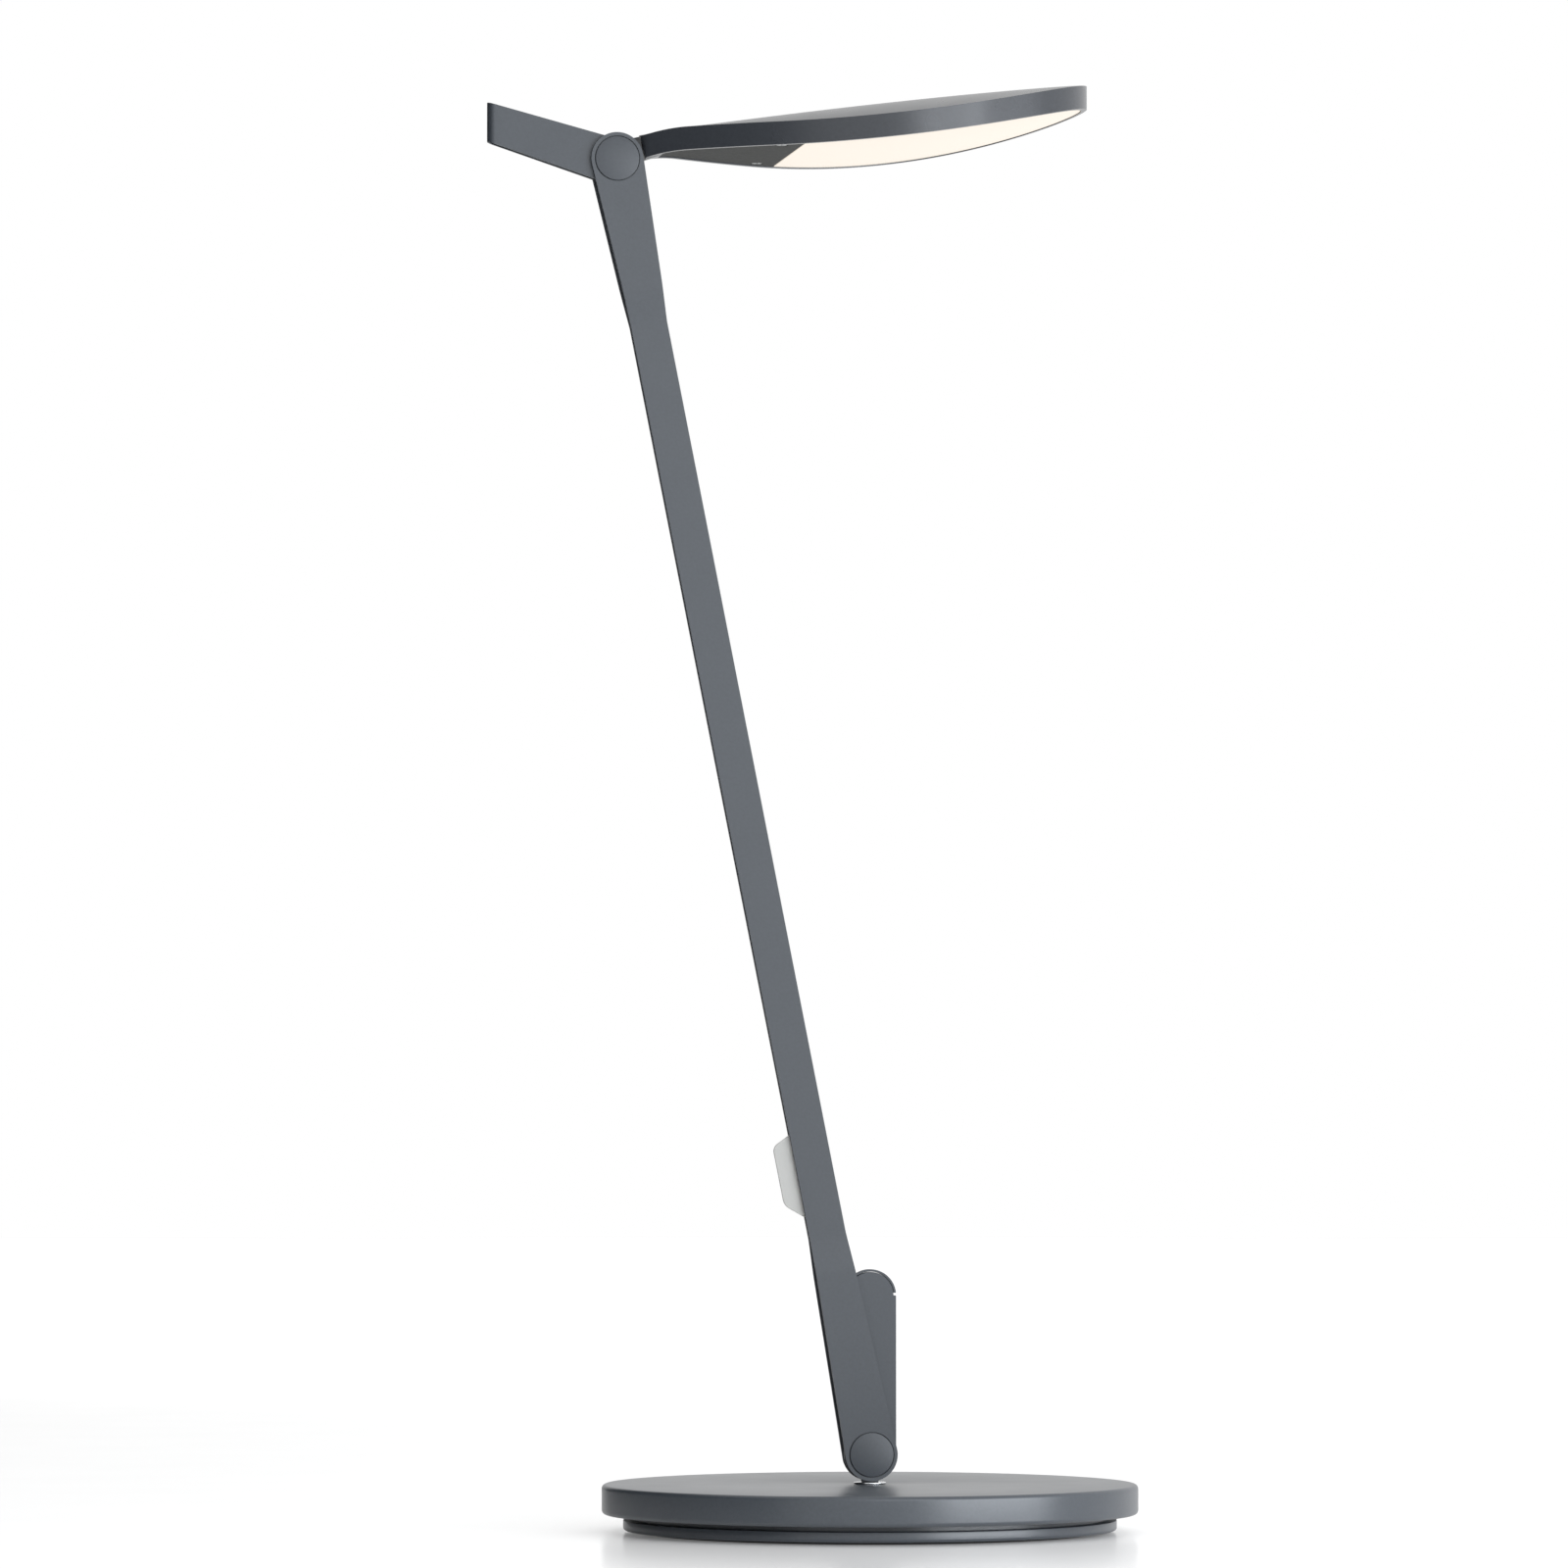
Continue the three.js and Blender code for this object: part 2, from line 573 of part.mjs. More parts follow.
piece(head, 'neck_hub', hub, 'black');

const keeperStart = neckFace + spigotLength + seat;
const keeperEnd = keeperStart + keeper.thickness;
const keeperBody = inRollFrame(rodX(keeper.radius, keeperStart, keeperEnd, 16)
  .subtract(rodX(keeperScrew.radius + fit, keeperStart - over, keeperEnd + over, 12)));
piece(head, 'keeper_washer', keeperBody, 'steel');

const keeperScrewBody = inRollFrame(
  rodX(keeperScrew.headRadius, keeperEnd + seat, keeperEnd + seat + keeperScrew.headHeight, 16)
    .add(rodX(keeperScrew.radius - fit / 2, keeperStart - keeperScrew.length, keeperEnd + 2 * seat, 12)));
piece(head, 'keeper_screw', keeperScrewBody, 'steel');

// ---------------------------------------------------------------- leaf-shaped head

// Half outline from the neck to the tip, as points.
const flank = new THREE.CubicBezierCurve(
  new THREE.Vector2(neckStation, neckHalfWidth),
  new THREE.Vector2(neckStation + shoulder.along, neckHalfWidth + shoulder.across),
  new THREE.Vector2(flankPull * headBroadest, headHalfWidth),
  new THREE.Vector2(headBroadest, headHalfWidth),
);
const nose = new THREE.CubicBezierCurve(
  new THREE.Vector2(headBroadest, headHalfWidth),
  new THREE.Vector2(headBroadest + nosePull.along * (headTip - headBroadest), headHalfWidth),
  new THREE.Vector2(headTip, nosePull.across * headHalfWidth),
  new THREE.Vector2(headTip, 0),
);
const halfOutline = [...flank.getPoints(16), ...nose.getPoints(14).slice(1)];

function halfWidthAt(station) {
  const after = halfOutline.findIndex((point) => point.x >= station);
  if (after <= 0) return after < 0 ? 0 : neckHalfWidth;
  const [p, q] = [halfOutline[after - 1], halfOutline[after]];
  return p.y + ((q.y - p.y) * (station - p.x)) / (q.x - p.x);
}

// The leaf drawn smaller by an inset measured square to its edge.
function leaf(inset) {
  const upper = halfOutline.map((point, i) => {
    const p = halfOutline[Math.max(i - 1, 0)];
    const q = i === halfOutline.length - 1 ? new THREE.Vector2(point.x, -0.01) : halfOutline[i + 1];
    const along = q.clone().sub(p).normalize();
    return new THREE.Vector2(point.x + along.y * inset, Math.max(point.y - along.x * inset, 0));
  });
  const lower = upper.slice(0, -1).reverse().map((point) => new THREE.Vector2(point.x, -point.y));
  return new THREE.Shape([...upper, ...lower]);
}

function rimBottom(station) {
  const past = Math.max(0, station - underside.bendStart);
  const short = Math.max(0, neckDip.start - station) / neckDip.length;
  return underside.level + underside.bendRadius - Math.sqrt(underside.bendRadius ** 2 - past ** 2)
    - neckDip.depth * short ** 2;
}

function spineHeight(station) {
  const share = (station - spine.start) / (headTip - spine.start);
  return spine.startHeight + spine.rise * share + spine.bow * 4 * share * (1 - share);
}

// Height of the domed top; across runs from 0 on the spine to 1 on the rim.
function domeTop(station, across) {
  const rim = rimBottom(station) + rimHeight;
  return rim + Math.max(0, spineHeight(station) - rim) * (1 - across ** 2);
}

// A block over the leaf whose underside and top follow two height functions.
function block(low, high, steps = 22, lanes = 10) {
  const geometry = new THREE.BoxGeometry(1, 1, 1, steps, lanes, 1);
  const corners = geometry.getAttribute('position');
  for (let i = 0; i < corners.count; i += 1) {
    const station = neckStation - over + (corners.getX(i) + 0.5) * (headTip - neckStation + 2 * over);
    const halfWidth = halfWidthAt(Math.min(Math.max(station, neckStation), headTip - over));
    const y = 2 * corners.getY(i) * (halfWidth + over);
    const height = corners.getZ(i) < 0 ? low : high;
    corners.setXYZ(i, station, y, height(station, Math.min(Math.abs(y) / halfWidth, 1)));
  }
  return solid(geometry);
}

const leafPrism = (inset) => prism(leaf(inset), 'z', -far, far);
const onwards = (station) => box(station, far, -far, far, -far, far);
const backTo = (station) => box(-far, station, -far, far, -far, far);

// The shell: domed roof and rim in one, solid at the neck where the spigot turns in it.
const neckBack = inRollFrame(box(-far, neckFace, -far, far, -far, far));
const neckDepth = neckFace + spigotLength - fit;
const beyondNeck = (gap) => inRollFrame(box(neckDepth + gap, far, -far, far, -far, far));
const spigotBore = inRollFrame(rodX(spigotRadius + fit, 0, neckDepth + over, 16));
const cavity = leafPrism(shellWall)
  .intersect(beyondNeck(0))
  .intersect(block(() => -rimHeight, (station, across) => domeTop(station, across) - shellRoof));
const shell = leafPrism(0)
  .intersect(block((station) => rimBottom(station), domeTop))
  .subtract(cavity)
  .subtract(neckBack)
  .subtract(spigotBore);
piece(head, 'head_shell', shell, 'paint');

// Layers under the roof, each following the curve of the rim.
function layer(start, thickness, inset, fromStation, toStation) {
  return leafPrism(shellWall + inset)
    .intersect(block((station) => rimBottom(station) + start,
      (station) => rimBottom(station) + start + thickness, 22, 2))
    .intersect(onwards(fromStation))
    .intersect(backTo(toStation));
}
const coverScrewSpots = [-1, 1].map((side) => [coverScrew.station, side * coverScrew.across]);
const coverBottom = rimBottom(coverScrew.station) + panelRecess;
let cover = layer(panelRecess, panelThickness, fit, neckStation, panelSeam - fit / 2)
  .intersect(beyondNeck(fit));
for (const [x, y] of coverScrewSpots) {
  cover = cover
    .subtract(rodZ(coverScrew.radius + fit, 0, coverBottom + coverScrew.length, x, y, 12))
    .subtract(rodZ(coverScrew.headRadius + fit, 0, coverBottom + coverScrew.headHeight, x, y, 16));
}
piece(head, 'head_cover', cover, 'cover');
piece(head, 'diffuser', layer(panelRecess, panelThickness, fit, panelSeam + fit / 2, headTip), 'diffuser');

coverScrewSpots.forEach(([x, y], i) => {
  const bottom = coverBottom + seat;
  const screw = rodZ(coverScrew.headRadius, bottom, bottom + coverScrew.headHeight - 2 * seat, x, y, 16)
    .add(rodZ(coverScrew.radius, bottom, bottom + coverScrew.length, x, y, 12));
  piece(head, `cover_screw_${i + 1}`, screw, 'steel');
});

const guideStart = panelRecess + panelThickness + layerGap;
const guideFrom = panelSeam + ledStrip.width + ledStrip.inset;
piece(head, 'light_guide', layer(guideStart, guideThickness, fit, guideFrom, headTip), 'clear');
const reflectorStart = guideStart + guideThickness + layerGap;
piece(head, 'reflector', layer(reflectorStart, reflectorThickness, fit, panelSeam, headTip), 'nylon');

const ledHalf = halfWidthAt(panelSeam) - shellWall - ledStrip.fromWall;
const ledBottom = rimBottom(panelSeam) + guideStart;
const leds = box(panelSeam + ledStrip.inset / 2, guideFrom - ledStrip.inset, -ledHalf, ledHalf,
  ledBottom, ledBottom + ledStrip.thickness);
piece(head, 'led_board', leds, 'board');

const driverBottom = rimBottom(driver.station) + guideStart;
const driverTop = driverBottom + driver.thickness;
const driverEnd = driver.station + driver.length;
const halfDriver = driver.width / 2;
const touchBoard = box(driver.station, driverEnd, -halfDriver, halfDriver, driverBottom, driverTop)
  .add(box(driver.station + driverChip.margin, driverEnd - driverChip.margin, -driverChip.halfWidth,
    driverChip.halfWidth, driverBottom + seat, driverTop + driverChip.height));
piece(head, 'touch_board', touchBoard, 'board');

export default lamp;
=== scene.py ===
"""Looks of a swing arm desk lamp: graphite painted steel and aluminium, a lit opal panel and a
frosted tab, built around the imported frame. Lengths are in metres, in the frame's own axes."""

import json
import math

import bmesh
import bpy
from mathutils import Matrix, Vector


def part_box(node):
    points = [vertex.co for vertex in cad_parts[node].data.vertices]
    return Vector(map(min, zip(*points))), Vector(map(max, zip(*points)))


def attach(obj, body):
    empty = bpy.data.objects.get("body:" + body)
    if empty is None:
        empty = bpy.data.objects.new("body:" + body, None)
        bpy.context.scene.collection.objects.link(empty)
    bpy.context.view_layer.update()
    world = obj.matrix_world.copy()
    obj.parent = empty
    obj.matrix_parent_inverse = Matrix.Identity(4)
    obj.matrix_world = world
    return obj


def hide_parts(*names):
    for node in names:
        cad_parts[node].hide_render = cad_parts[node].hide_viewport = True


bl_info = {
    "name": "Swing Arm Desk Lamp",
    "version": (1, 0, 0),
    "blender": (4, 5, 0),
    "location": "View3D > Sidebar > Desk Lamp",
    "description": "Builds a swing arm desk lamp piece by piece around its frame",
    "category": "Object",
}

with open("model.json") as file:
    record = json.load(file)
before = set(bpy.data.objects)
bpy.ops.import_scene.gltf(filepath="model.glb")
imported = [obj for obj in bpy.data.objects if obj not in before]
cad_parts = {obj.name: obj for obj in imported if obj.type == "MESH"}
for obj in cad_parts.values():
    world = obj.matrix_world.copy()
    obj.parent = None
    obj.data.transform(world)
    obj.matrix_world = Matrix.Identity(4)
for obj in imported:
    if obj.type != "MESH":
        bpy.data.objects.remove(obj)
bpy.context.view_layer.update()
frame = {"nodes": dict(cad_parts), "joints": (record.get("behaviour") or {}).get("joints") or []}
MM = 0.001

# ------------------------------------------------------------------ places taken from the frame

JOINTS = {joint["name"]: joint for joint in frame["joints"]}
LOWER_PIVOT = Vector(JOINTS["arm_tilt"]["pos_m"])
UPPER_PIVOT = Vector(JOINTS["head_tilt"]["pos_m"])
ROLL_START = Vector(JOINTS["head_roll"]["pos_m"])
ROLL_AXIS = Vector(JOINTS["head_roll"]["axis"]).normalized()
ARM_UP = (UPPER_PIVOT - LOWER_PIVOT).normalized()
ARM_LENGTH = (UPPER_PIVOT - LOWER_PIVOT).length
ARM_LEAN = math.atan2(ARM_UP.x, ARM_UP.z)


def size_of(node):
    """A node's width, depth and height at rest."""
    low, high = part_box(node)
    return high - low


# ------------------------------------------------------------------ colours and nodes


def srgb(code):
    """An sRGB hex colour as linear red, green and blue."""
    levels = [int(code[i:i + 2], 16) / 255 for i in (1, 3, 5)]
    return tuple(v / 12.92 if v <= 0.04045 else ((v + 0.055) / 1.055) ** 2.4 for v in levels)


def add(tree, kind, values=None, links=None, **options):
    """Adds a node, sets its properties and input values, and links its inputs to other sockets."""
    node = tree.nodes.new(kind)
    for key, value in options.items():
        setattr(node, key, value)
    for key, value in (values or {}).items():
        node.inputs[key].default_value = value
    for key, socket in (links or {}).items():
        tree.links.new(socket, node.inputs[key])
    return node


def start_material(name, shader_values):
    """An empty material with a Principled shader on its output."""
    made = bpy.data.materials.new(name)
    made.use_nodes = True
    tree = made.node_tree
    tree.nodes.clear()
    shader = add(tree, "ShaderNodeBsdfPrincipled", shader_values)
    add(tree, "ShaderNodeOutputMaterial", links={"Surface": shader.outputs["BSDF"]})
    return made, tree, shader


def grain(tree, size, detail=2.0, stretch=(1, 1, 1)):
    """Noise whose lumps are about `size` metres across, drawn on the piece itself."""
    place = add(tree, "ShaderNodeTexCoord").outputs["Object"]
    place = add(tree, "ShaderNodeMapping", {"Scale": stretch}, {"Vector": place}).outputs["Vector"]
    return add(tree, "ShaderNodeTexNoise", {"Scale": 1 / size, "Detail": detail, "Roughness": 0.55},
               {"Vector": place}).outputs["Fac"]


def spread(tree, source, low, high):
    """Maps noise, which lies mostly between 0.3 and 0.7, onto the range from low to high."""
    return add(tree, "ShaderNodeMapRange",
               {"From Min": 0.3, "From Max": 0.7, "To Min": low, "To Max": high},
               {"Value": source}).outputs["Result"]


# sockets of a Mix node that mixes colours, which share their names with its other sockets
MIX_SHARE, MIX_DARK, MIX_LIGHT, MIX_RESULT = 0, 6, 7, 2


def tint(tree, shader, colour, source, change):
    """Makes the base colour a little darker and lighter with the noise."""
    dark, light = [tuple(c * (1 + s * change) for c in colour) + (1,) for s in (-1, 1)]
    share = spread(tree, source, 0, 1)
    mix = add(tree, "ShaderNodeMix", {MIX_DARK: dark, MIX_LIGHT: light}, {MIX_SHARE: share}, data_type="RGBA")
    tree.links.new(mix.outputs[MIX_RESULT], shader.inputs["Base Color"])


def rough(tree, shader, source, middle, change):
    """Makes the roughness rise and fall about its middle with the noise."""
    tree.links.new(spread(tree, source, middle - change, middle + change), shader.inputs["Roughness"])


def bump(tree, shader, heights):
    """Bump from (noise, depth in metres) pairs, one upon another."""
    normal = None
    for source, depth in heights:
        links = {"Height": source}
        if normal:
            links["Normal"] = normal
        normal = add(tree, "ShaderNodeBump", {"Strength": 1.0, "Distance": depth}, links).outputs["Normal"]
    tree.links.new(normal, shader.inputs["Normal"])


def satin_paint(name, colour, roughness, peel):
    """Polyester paint, sprayed and stoved: an even satin whose gloss a faint orange peel breaks up.
    The pigment's speckle is drawn at about 1 mm, coarser than it is, so that it shows."""
    speckle, clouds, dust = 1.1 * MM, 14 * MM, 0.35 * MM
    peel_depth, dust_depth = 0.0015 * MM, 0.002 * MM
    made, tree, shader = start_material(name, {"IOR": 1.56})
    tint(tree, shader, colour, grain(tree, speckle, detail=4.0), change=0.08)
    rough(tree, shader, grain(tree, clouds), roughness, change=0.01)
    bump(tree, shader, [
        (grain(tree, peel, detail=1.0), peel_depth),
        (grain(tree, dust, detail=1.0), dust_depth),
    ])
    return made


def polished_chrome(name):
    """Turned and chromed steel: mirror bright, with the fine rings that the lathe leaves."""
    rings = (1, 1, 12)  # the noise is pressed flat along the stem, into rings
    made, tree, shader = start_material(name, {"Metallic": 1.0})
    tint(tree, shader, srgb("#dadcdf"), grain(tree, 4 * MM), change=0.03)
    rough(tree, shader, grain(tree, 1 * MM, stretch=rings), middle=0.085, change=0.035)
    bump(tree, shader, [(grain(tree, 0.4 * MM, stretch=rings), 0.002 * MM)])
    return made


def plated_steel(name):
    """Machined and zinc-plated steel: bright grey, with tool marks and a plating that varies."""
    tool_marks = (1, 1, 6)  # the same, less strongly
    made, tree, shader = start_material(name, {"Metallic": 1.0})
    tint(tree, shader, srgb("#b3b5b6"), grain(tree, 2 * MM), change=0.08)
    rough(tree, shader, grain(tree, 1.5 * MM, detail=4.0), middle=0.335, change=0.085)
    bump(tree, shader, [(grain(tree, 0.3 * MM, detail=3.0, stretch=tool_marks), 0.006 * MM)])
    return made


def moulded_plastic(name, colour, roughness, grit, depth, change=0.06):
    """Injection-moulded plastic with a spark-eroded grain: its gloss is broken up very finely. The
    grit is drawn at about half a millimetre, several times coarser than it is, so that it shows."""
    made, tree, shader = start_material(name, {"IOR": 1.49})
    tint(tree, shader, colour, grain(tree, 6 * grit), change)
    rough(tree, shader, grain(tree, 3 * grit), roughness, change=0.05)
    bump(tree, shader, [(grain(tree, grit, detail=1.0), depth)])
    return made


def rubber_sheet(name):
    """Foamed rubber cut from sheet: dead matt black with fine pores."""
    pores, pore_depth = 0.6 * MM, 0.05 * MM
    made, tree, shader = start_material(name, {"IOR": 1.52})
    tint(tree, shader, srgb("#232323"), grain(tree, 3 * MM), change=0.15)
    rough(tree, shader, grain(tree, 1 * MM), middle=0.885, change=0.065)
    bump(tree, shader, [(grain(tree, pores, detail=3.0), pore_depth)])
    return made


def solder_mask(name):
    """Epoxy board under a green solder mask: glossy, with the weave just felt underneath."""
    weave, weave_depth = 0.5 * MM, 0.01 * MM
    made, tree, shader = start_material(name, {"IOR": 1.55, "Coat Weight": 0.3})
    tint(tree, shader, srgb("#1f5a3a"), grain(tree, 1.2 * MM), change=0.25)
    rough(tree, shader, grain(tree, 2 * MM), middle=0.35, change=0.05)
    bump(tree, shader, [(grain(tree, weave), weave_depth)])
    return made


def lit_opal(name, light, strength):
    """Opal acrylic lit through a light guide: a warm white, even to within two percent."""
    made, tree, shader = start_material(name, {"IOR": 1.49, "Roughness": 0.4, "Emission Color": (*light, 1)})
    tint(tree, shader, srgb("#4d4a45"), grain(tree, 25 * MM), change=0.01)
    glow = spread(tree, grain(tree, 60 * MM, detail=0.0), 0.985 * strength, 1.015 * strength)
    tree.links.new(glow, shader.inputs["Emission Strength"])
    bump(tree, shader, [(grain(tree, 0.8 * MM, detail=1.0), 0.004 * MM)])
    return made


def frosted_clear(name, colour, roughness, clearness):
    """Clear plastic from a frosted tool: it lets light through and blurs what is behind it."""
    made, tree, shader = start_material(
        name, {"IOR": 1.58, "Transmission Weight": clearness, "Specular IOR Level": 0.4})
    tint(tree, shader, colour, grain(tree, 5 * MM), change=0.02)
    rough(tree, shader, grain(tree, 2 * MM), roughness, change=0.05)
    bump(tree, shader, [(grain(tree, 0.4 * MM, detail=1.0), 0.006 * MM)])
    return made


# ------------------------------------------------------------------ mesh helpers


MERGE = 0.002 * MM  # points closer than this become one
TINY = 1e-7  # lengths below this count as none
EDGE_ANGLE = 32  # degrees between two faces above which their edge is bevelled and stays sharp


def smooth_by_angle(mesh, degrees):
    """Smooth shading, with a sharp edge wherever two faces meet at more than the angle."""
    mesh.polygons.foreach_set("use_smooth", [True] * len(mesh.polygons))
    mesh.set_sharp_from_angle(angle=math.radians(degrees))


def apply_modifiers(piece):
    """Leaves the piece as the plain mesh that its modifiers make."""
    bpy.context.view_layer.update()
    shown = piece.evaluated_get(bpy.context.evaluated_depsgraph_get())
    mesh = bpy.data.meshes.new_from_object(shown)
    piece.modifiers.clear()
    piece.data = mesh


def make_piece(name, bm, body, stands_for, finish, bevel=0.0, segments=2, cutters=(), sharp=EDGE_ANGLE):
    """Turns a bmesh into a finished piece: cut, bevelled, smoothed, painted and riding on its body."""
    bmesh.ops.remove_doubles(bm, verts=bm.verts, dist=MERGE)
    bmesh.ops.recalc_face_normals(bm, faces=bm.faces)
    mesh = bpy.data.meshes.new(name)
    bm.to_mesh(mesh)
    bm.free()
    piece = bpy.data.objects.new(name, mesh)
    bpy.context.scene.collection.objects.link(piece)
    for tool in cutters:
        cut = piece.modifiers.new("cut", "BOOLEAN")
        cut.object, cut.operation, cut.solver = tool, "DIFFERENCE", "EXACT"
    if cutters:
        apply_modifiers(piece)
    for tool in cutters:
        bpy.data.objects.remove(tool)
    smooth_by_angle(piece.data, sharp)
    if bevel:
        edge = piece.modifiers.new("edge", "BEVEL")
        edge.width, edge.segments = bevel, segments
        edge.limit_method, edge.angle_limit = "ANGLE", math.radians(sharp)
        edge.harden_normals = True
        apply_modifiers(piece)
    piece.data.name = name
    piece.data.materials.clear()
    piece.data.materials.append(finish)
    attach(piece, body)
    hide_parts(*stands_for)


def arc(centre, radius, start, end, steps):
    """Points on a circle in a plane, from one angle to another, in degrees."""
    angles = [math.radians(start + (end - start) * i / steps) for i in range(steps + 1)]
    return [(centre[0] + radius * math.cos(a), centre[1] + radius * math.sin(a)) for a in angles]


def turned(profile, place, segments=96):
    """A profile of (radius, height) points turned about the local Z axis, then put in place."""
    bm = bmesh.new()
    rings = []
    for radius, height in profile:
        count = 1 if radius < TINY else segments
        turns = [2 * math.pi * i / segments for i in range(count)]
        rings.append([bm.verts.new(place @ Vector((radius * math.cos(t), radius * math.sin(t), height)))
                      for t in turns])
    for below, above in zip(rings, rings[1:]):
        for i in range(segments):
            j = (i + 1) % segments
            ring_pair = [(below, i), (below, j), (above, j), (above, i)]
            corners = list(dict.fromkeys(ring[k % len(ring)] for ring, k in ring_pair))
            if len(corners) > 2:
                bm.faces.new(corners)
    return bm


def slab(outline, thickness, place):
    """A flat outline of (x, z) points made into a plate between two depths along Y."""
    bm = bmesh.new()
    sheets = [[bm.verts.new(place @ Vector((x, depth, z))) for x, z in outline] for depth in thickness]
    bm.faces.new(sheets[0])
    bm.faces.new(sheets[1])
    count = len(outline)
    for i in range(count):
        j = (i + 1) % count
        bm.faces.new([sheets[0][i], sheets[0][j], sheets[1][j], sheets[1][i]])
    return bm


def cutter(bm):
    """A bmesh as a loose object, which cuts a piece and is then removed."""
    bmesh.ops.recalc_face_normals(bm, faces=bm.faces)
    mesh = bpy.data.meshes.new("cutter")
    bm.to_mesh(mesh)
    bm.free()
    tool = bpy.data.objects.new("cutter", mesh)
    bpy.context.scene.collection.objects.link(tool)
    return tool


def drill(radius, start, end, place, segments=48):
    """A round cutter from one height to another along the local Z axis."""
    return cutter(turned([(0, start), (radius, start), (radius, end), (0, end)], place, segments))


def along_y(origin):
    """A frame whose Z axis runs along +Y from a point."""
    return Matrix.Translation(origin) @ Matrix.Rotation(-math.pi / 2, 4, "X")


def disc_profile(radius, low, high, edge, steps=4):
    """A flat disc with rounded rims, from its bottom centre to its top centre."""
    return [
        (0, low),
        *arc((radius - edge, low + edge), edge, -90, 0, steps),
        *arc((radius - edge, high - edge), edge, 0, 90, steps),
        (0, high),
    ]


# ------------------------------------------------------------------ settings


class DeskLampSizes(bpy.types.PropertyGroup):
    """Sizes of the finish that a user may want to change."""

    rim_round: bpy.props.FloatProperty(
        name="Base rim radius", description="Radius rolled round the base disc's edges",
        default=1.5 * MM, min=0.2 * MM, max=3 * MM, unit="LENGTH")
    plate_edge: bpy.props.FloatProperty(
        name="Plate edge", description="Softening of the edges of the arm's blades and the post",
        default=0.22 * MM, min=0.05 * MM, max=0.6 * MM, unit="LENGTH")
    shell_edge: bpy.props.FloatProperty(
        name="Head rim edge", description="Softening of the head's rim",
        default=0.45 * MM, min=0.1 * MM, max=1.5 * MM, unit="LENGTH")
    orange_peel: bpy.props.FloatProperty(
        name="Orange peel", description="Width of the soft waves in the paint",
        default=1.6 * MM, min=0.5 * MM, max=5 * MM, unit="LENGTH")
    panel_light: bpy.props.FloatProperty(
        name="Panel light", description="How strongly the opal panel glows",
        default=0.72, min=0.0, max=10.0)


class DeskLampColours(bpy.types.PropertyGroup):
    """Colours that a user may want to change."""

    # The arm, the base and the head carry one graphite paint. Its three colours here differ only to make up
    # for how the light falls on each part, which is painted light and shade: the arm's is darkest and the
    # base's lightest.
    paint: bpy.props.FloatVectorProperty(
        name="Paint", description="Satin graphite paint of the arm and the post",
        default=srgb("#33383e"), size=3, min=0, max=1, subtype="COLOR")
    base_paint: bpy.props.FloatVectorProperty(
        name="Base paint", description="The same paint on the base",
        default=srgb("#3f444a"), size=3, min=0, max=1, subtype="COLOR")
    head_paint: bpy.props.FloatVectorProperty(
        name="Head paint", description="The same paint on the head",
        default=srgb("#34373c"), size=3, min=0, max=1, subtype="COLOR")
    cover: bpy.props.FloatVectorProperty(
        name="Cover", description="Moulded cover at the head's neck",
        default=srgb("#2d2e2c"), size=3, min=0, max=1, subtype="COLOR")
    light: bpy.props.FloatVectorProperty(
        name="Light", description="Warm white of the lit panel",
        default=srgb("#fff3e4"), size=3, min=0, max=1, subtype="COLOR")


def settings():
    """The sizes and the colours as they are set in the scene."""
    return bpy.context.scene.desk_lamp_sizes, bpy.context.scene.desk_lamp_colours


def material(name):
    """A finish by name, made the first time that a piece asks for it."""
    found = bpy.data.materials.get(name)
    if found:
        return found
    sizes, colours = settings()
    peel = sizes.orange_peel
    makers = {
        # One paint in three brightnesses, each set for how the light falls on its part: painted light and
        # shade.
        "graphite_arm_paint_shaded": lambda: satin_paint(name, colours.paint, roughness=0.45, peel=peel),
        "graphite_base_paint_lightened": lambda: satin_paint(name, colours.base_paint, roughness=0.33, peel=peel),
        "graphite_head_paint_shaded": lambda: satin_paint(name, colours.head_paint, roughness=0.28, peel=peel),
        "chromed_steel": lambda: polished_chrome(name),
        "zinc_plated_steel": lambda: plated_steel(name),
        "foamed_rubber": lambda: rubber_sheet(name),
        "solder_mask_board": lambda: solder_mask(name),
        "black_nylon": lambda: moulded_plastic(
            name, srgb("#17181a"), roughness=0.5, grit=0.5 * MM, depth=0.01 * MM),
        "natural_nylon": lambda: moulded_plastic(
            name, srgb("#e4e2da"), roughness=0.5, grit=0.6 * MM, depth=0.01 * MM, change=0.02),
        "grey_abs": lambda: moulded_plastic(
            name, colours.cover, roughness=0.8, grit=0.4 * MM, depth=0.02 * MM),
        "spacer_abs": lambda: moulded_plastic(
            name, srgb("#3c4044"), roughness=0.55, grit=0.4 * MM, depth=0.01 * MM),
        "lit_opal_acrylic": lambda: lit_opal(name, colours.light, sizes.panel_light),
        "frosted_polycarbonate": lambda: frosted_clear(
            name, srgb("#bfbfbc"), roughness=0.45, clearness=0.35),
        "cast_clear_acrylic": lambda: frosted_clear(
            name, srgb("#f0f2f0"), roughness=0.1, clearness=0.9),
    }
    return makers[name]()


# ------------------------------------------------------------------ base


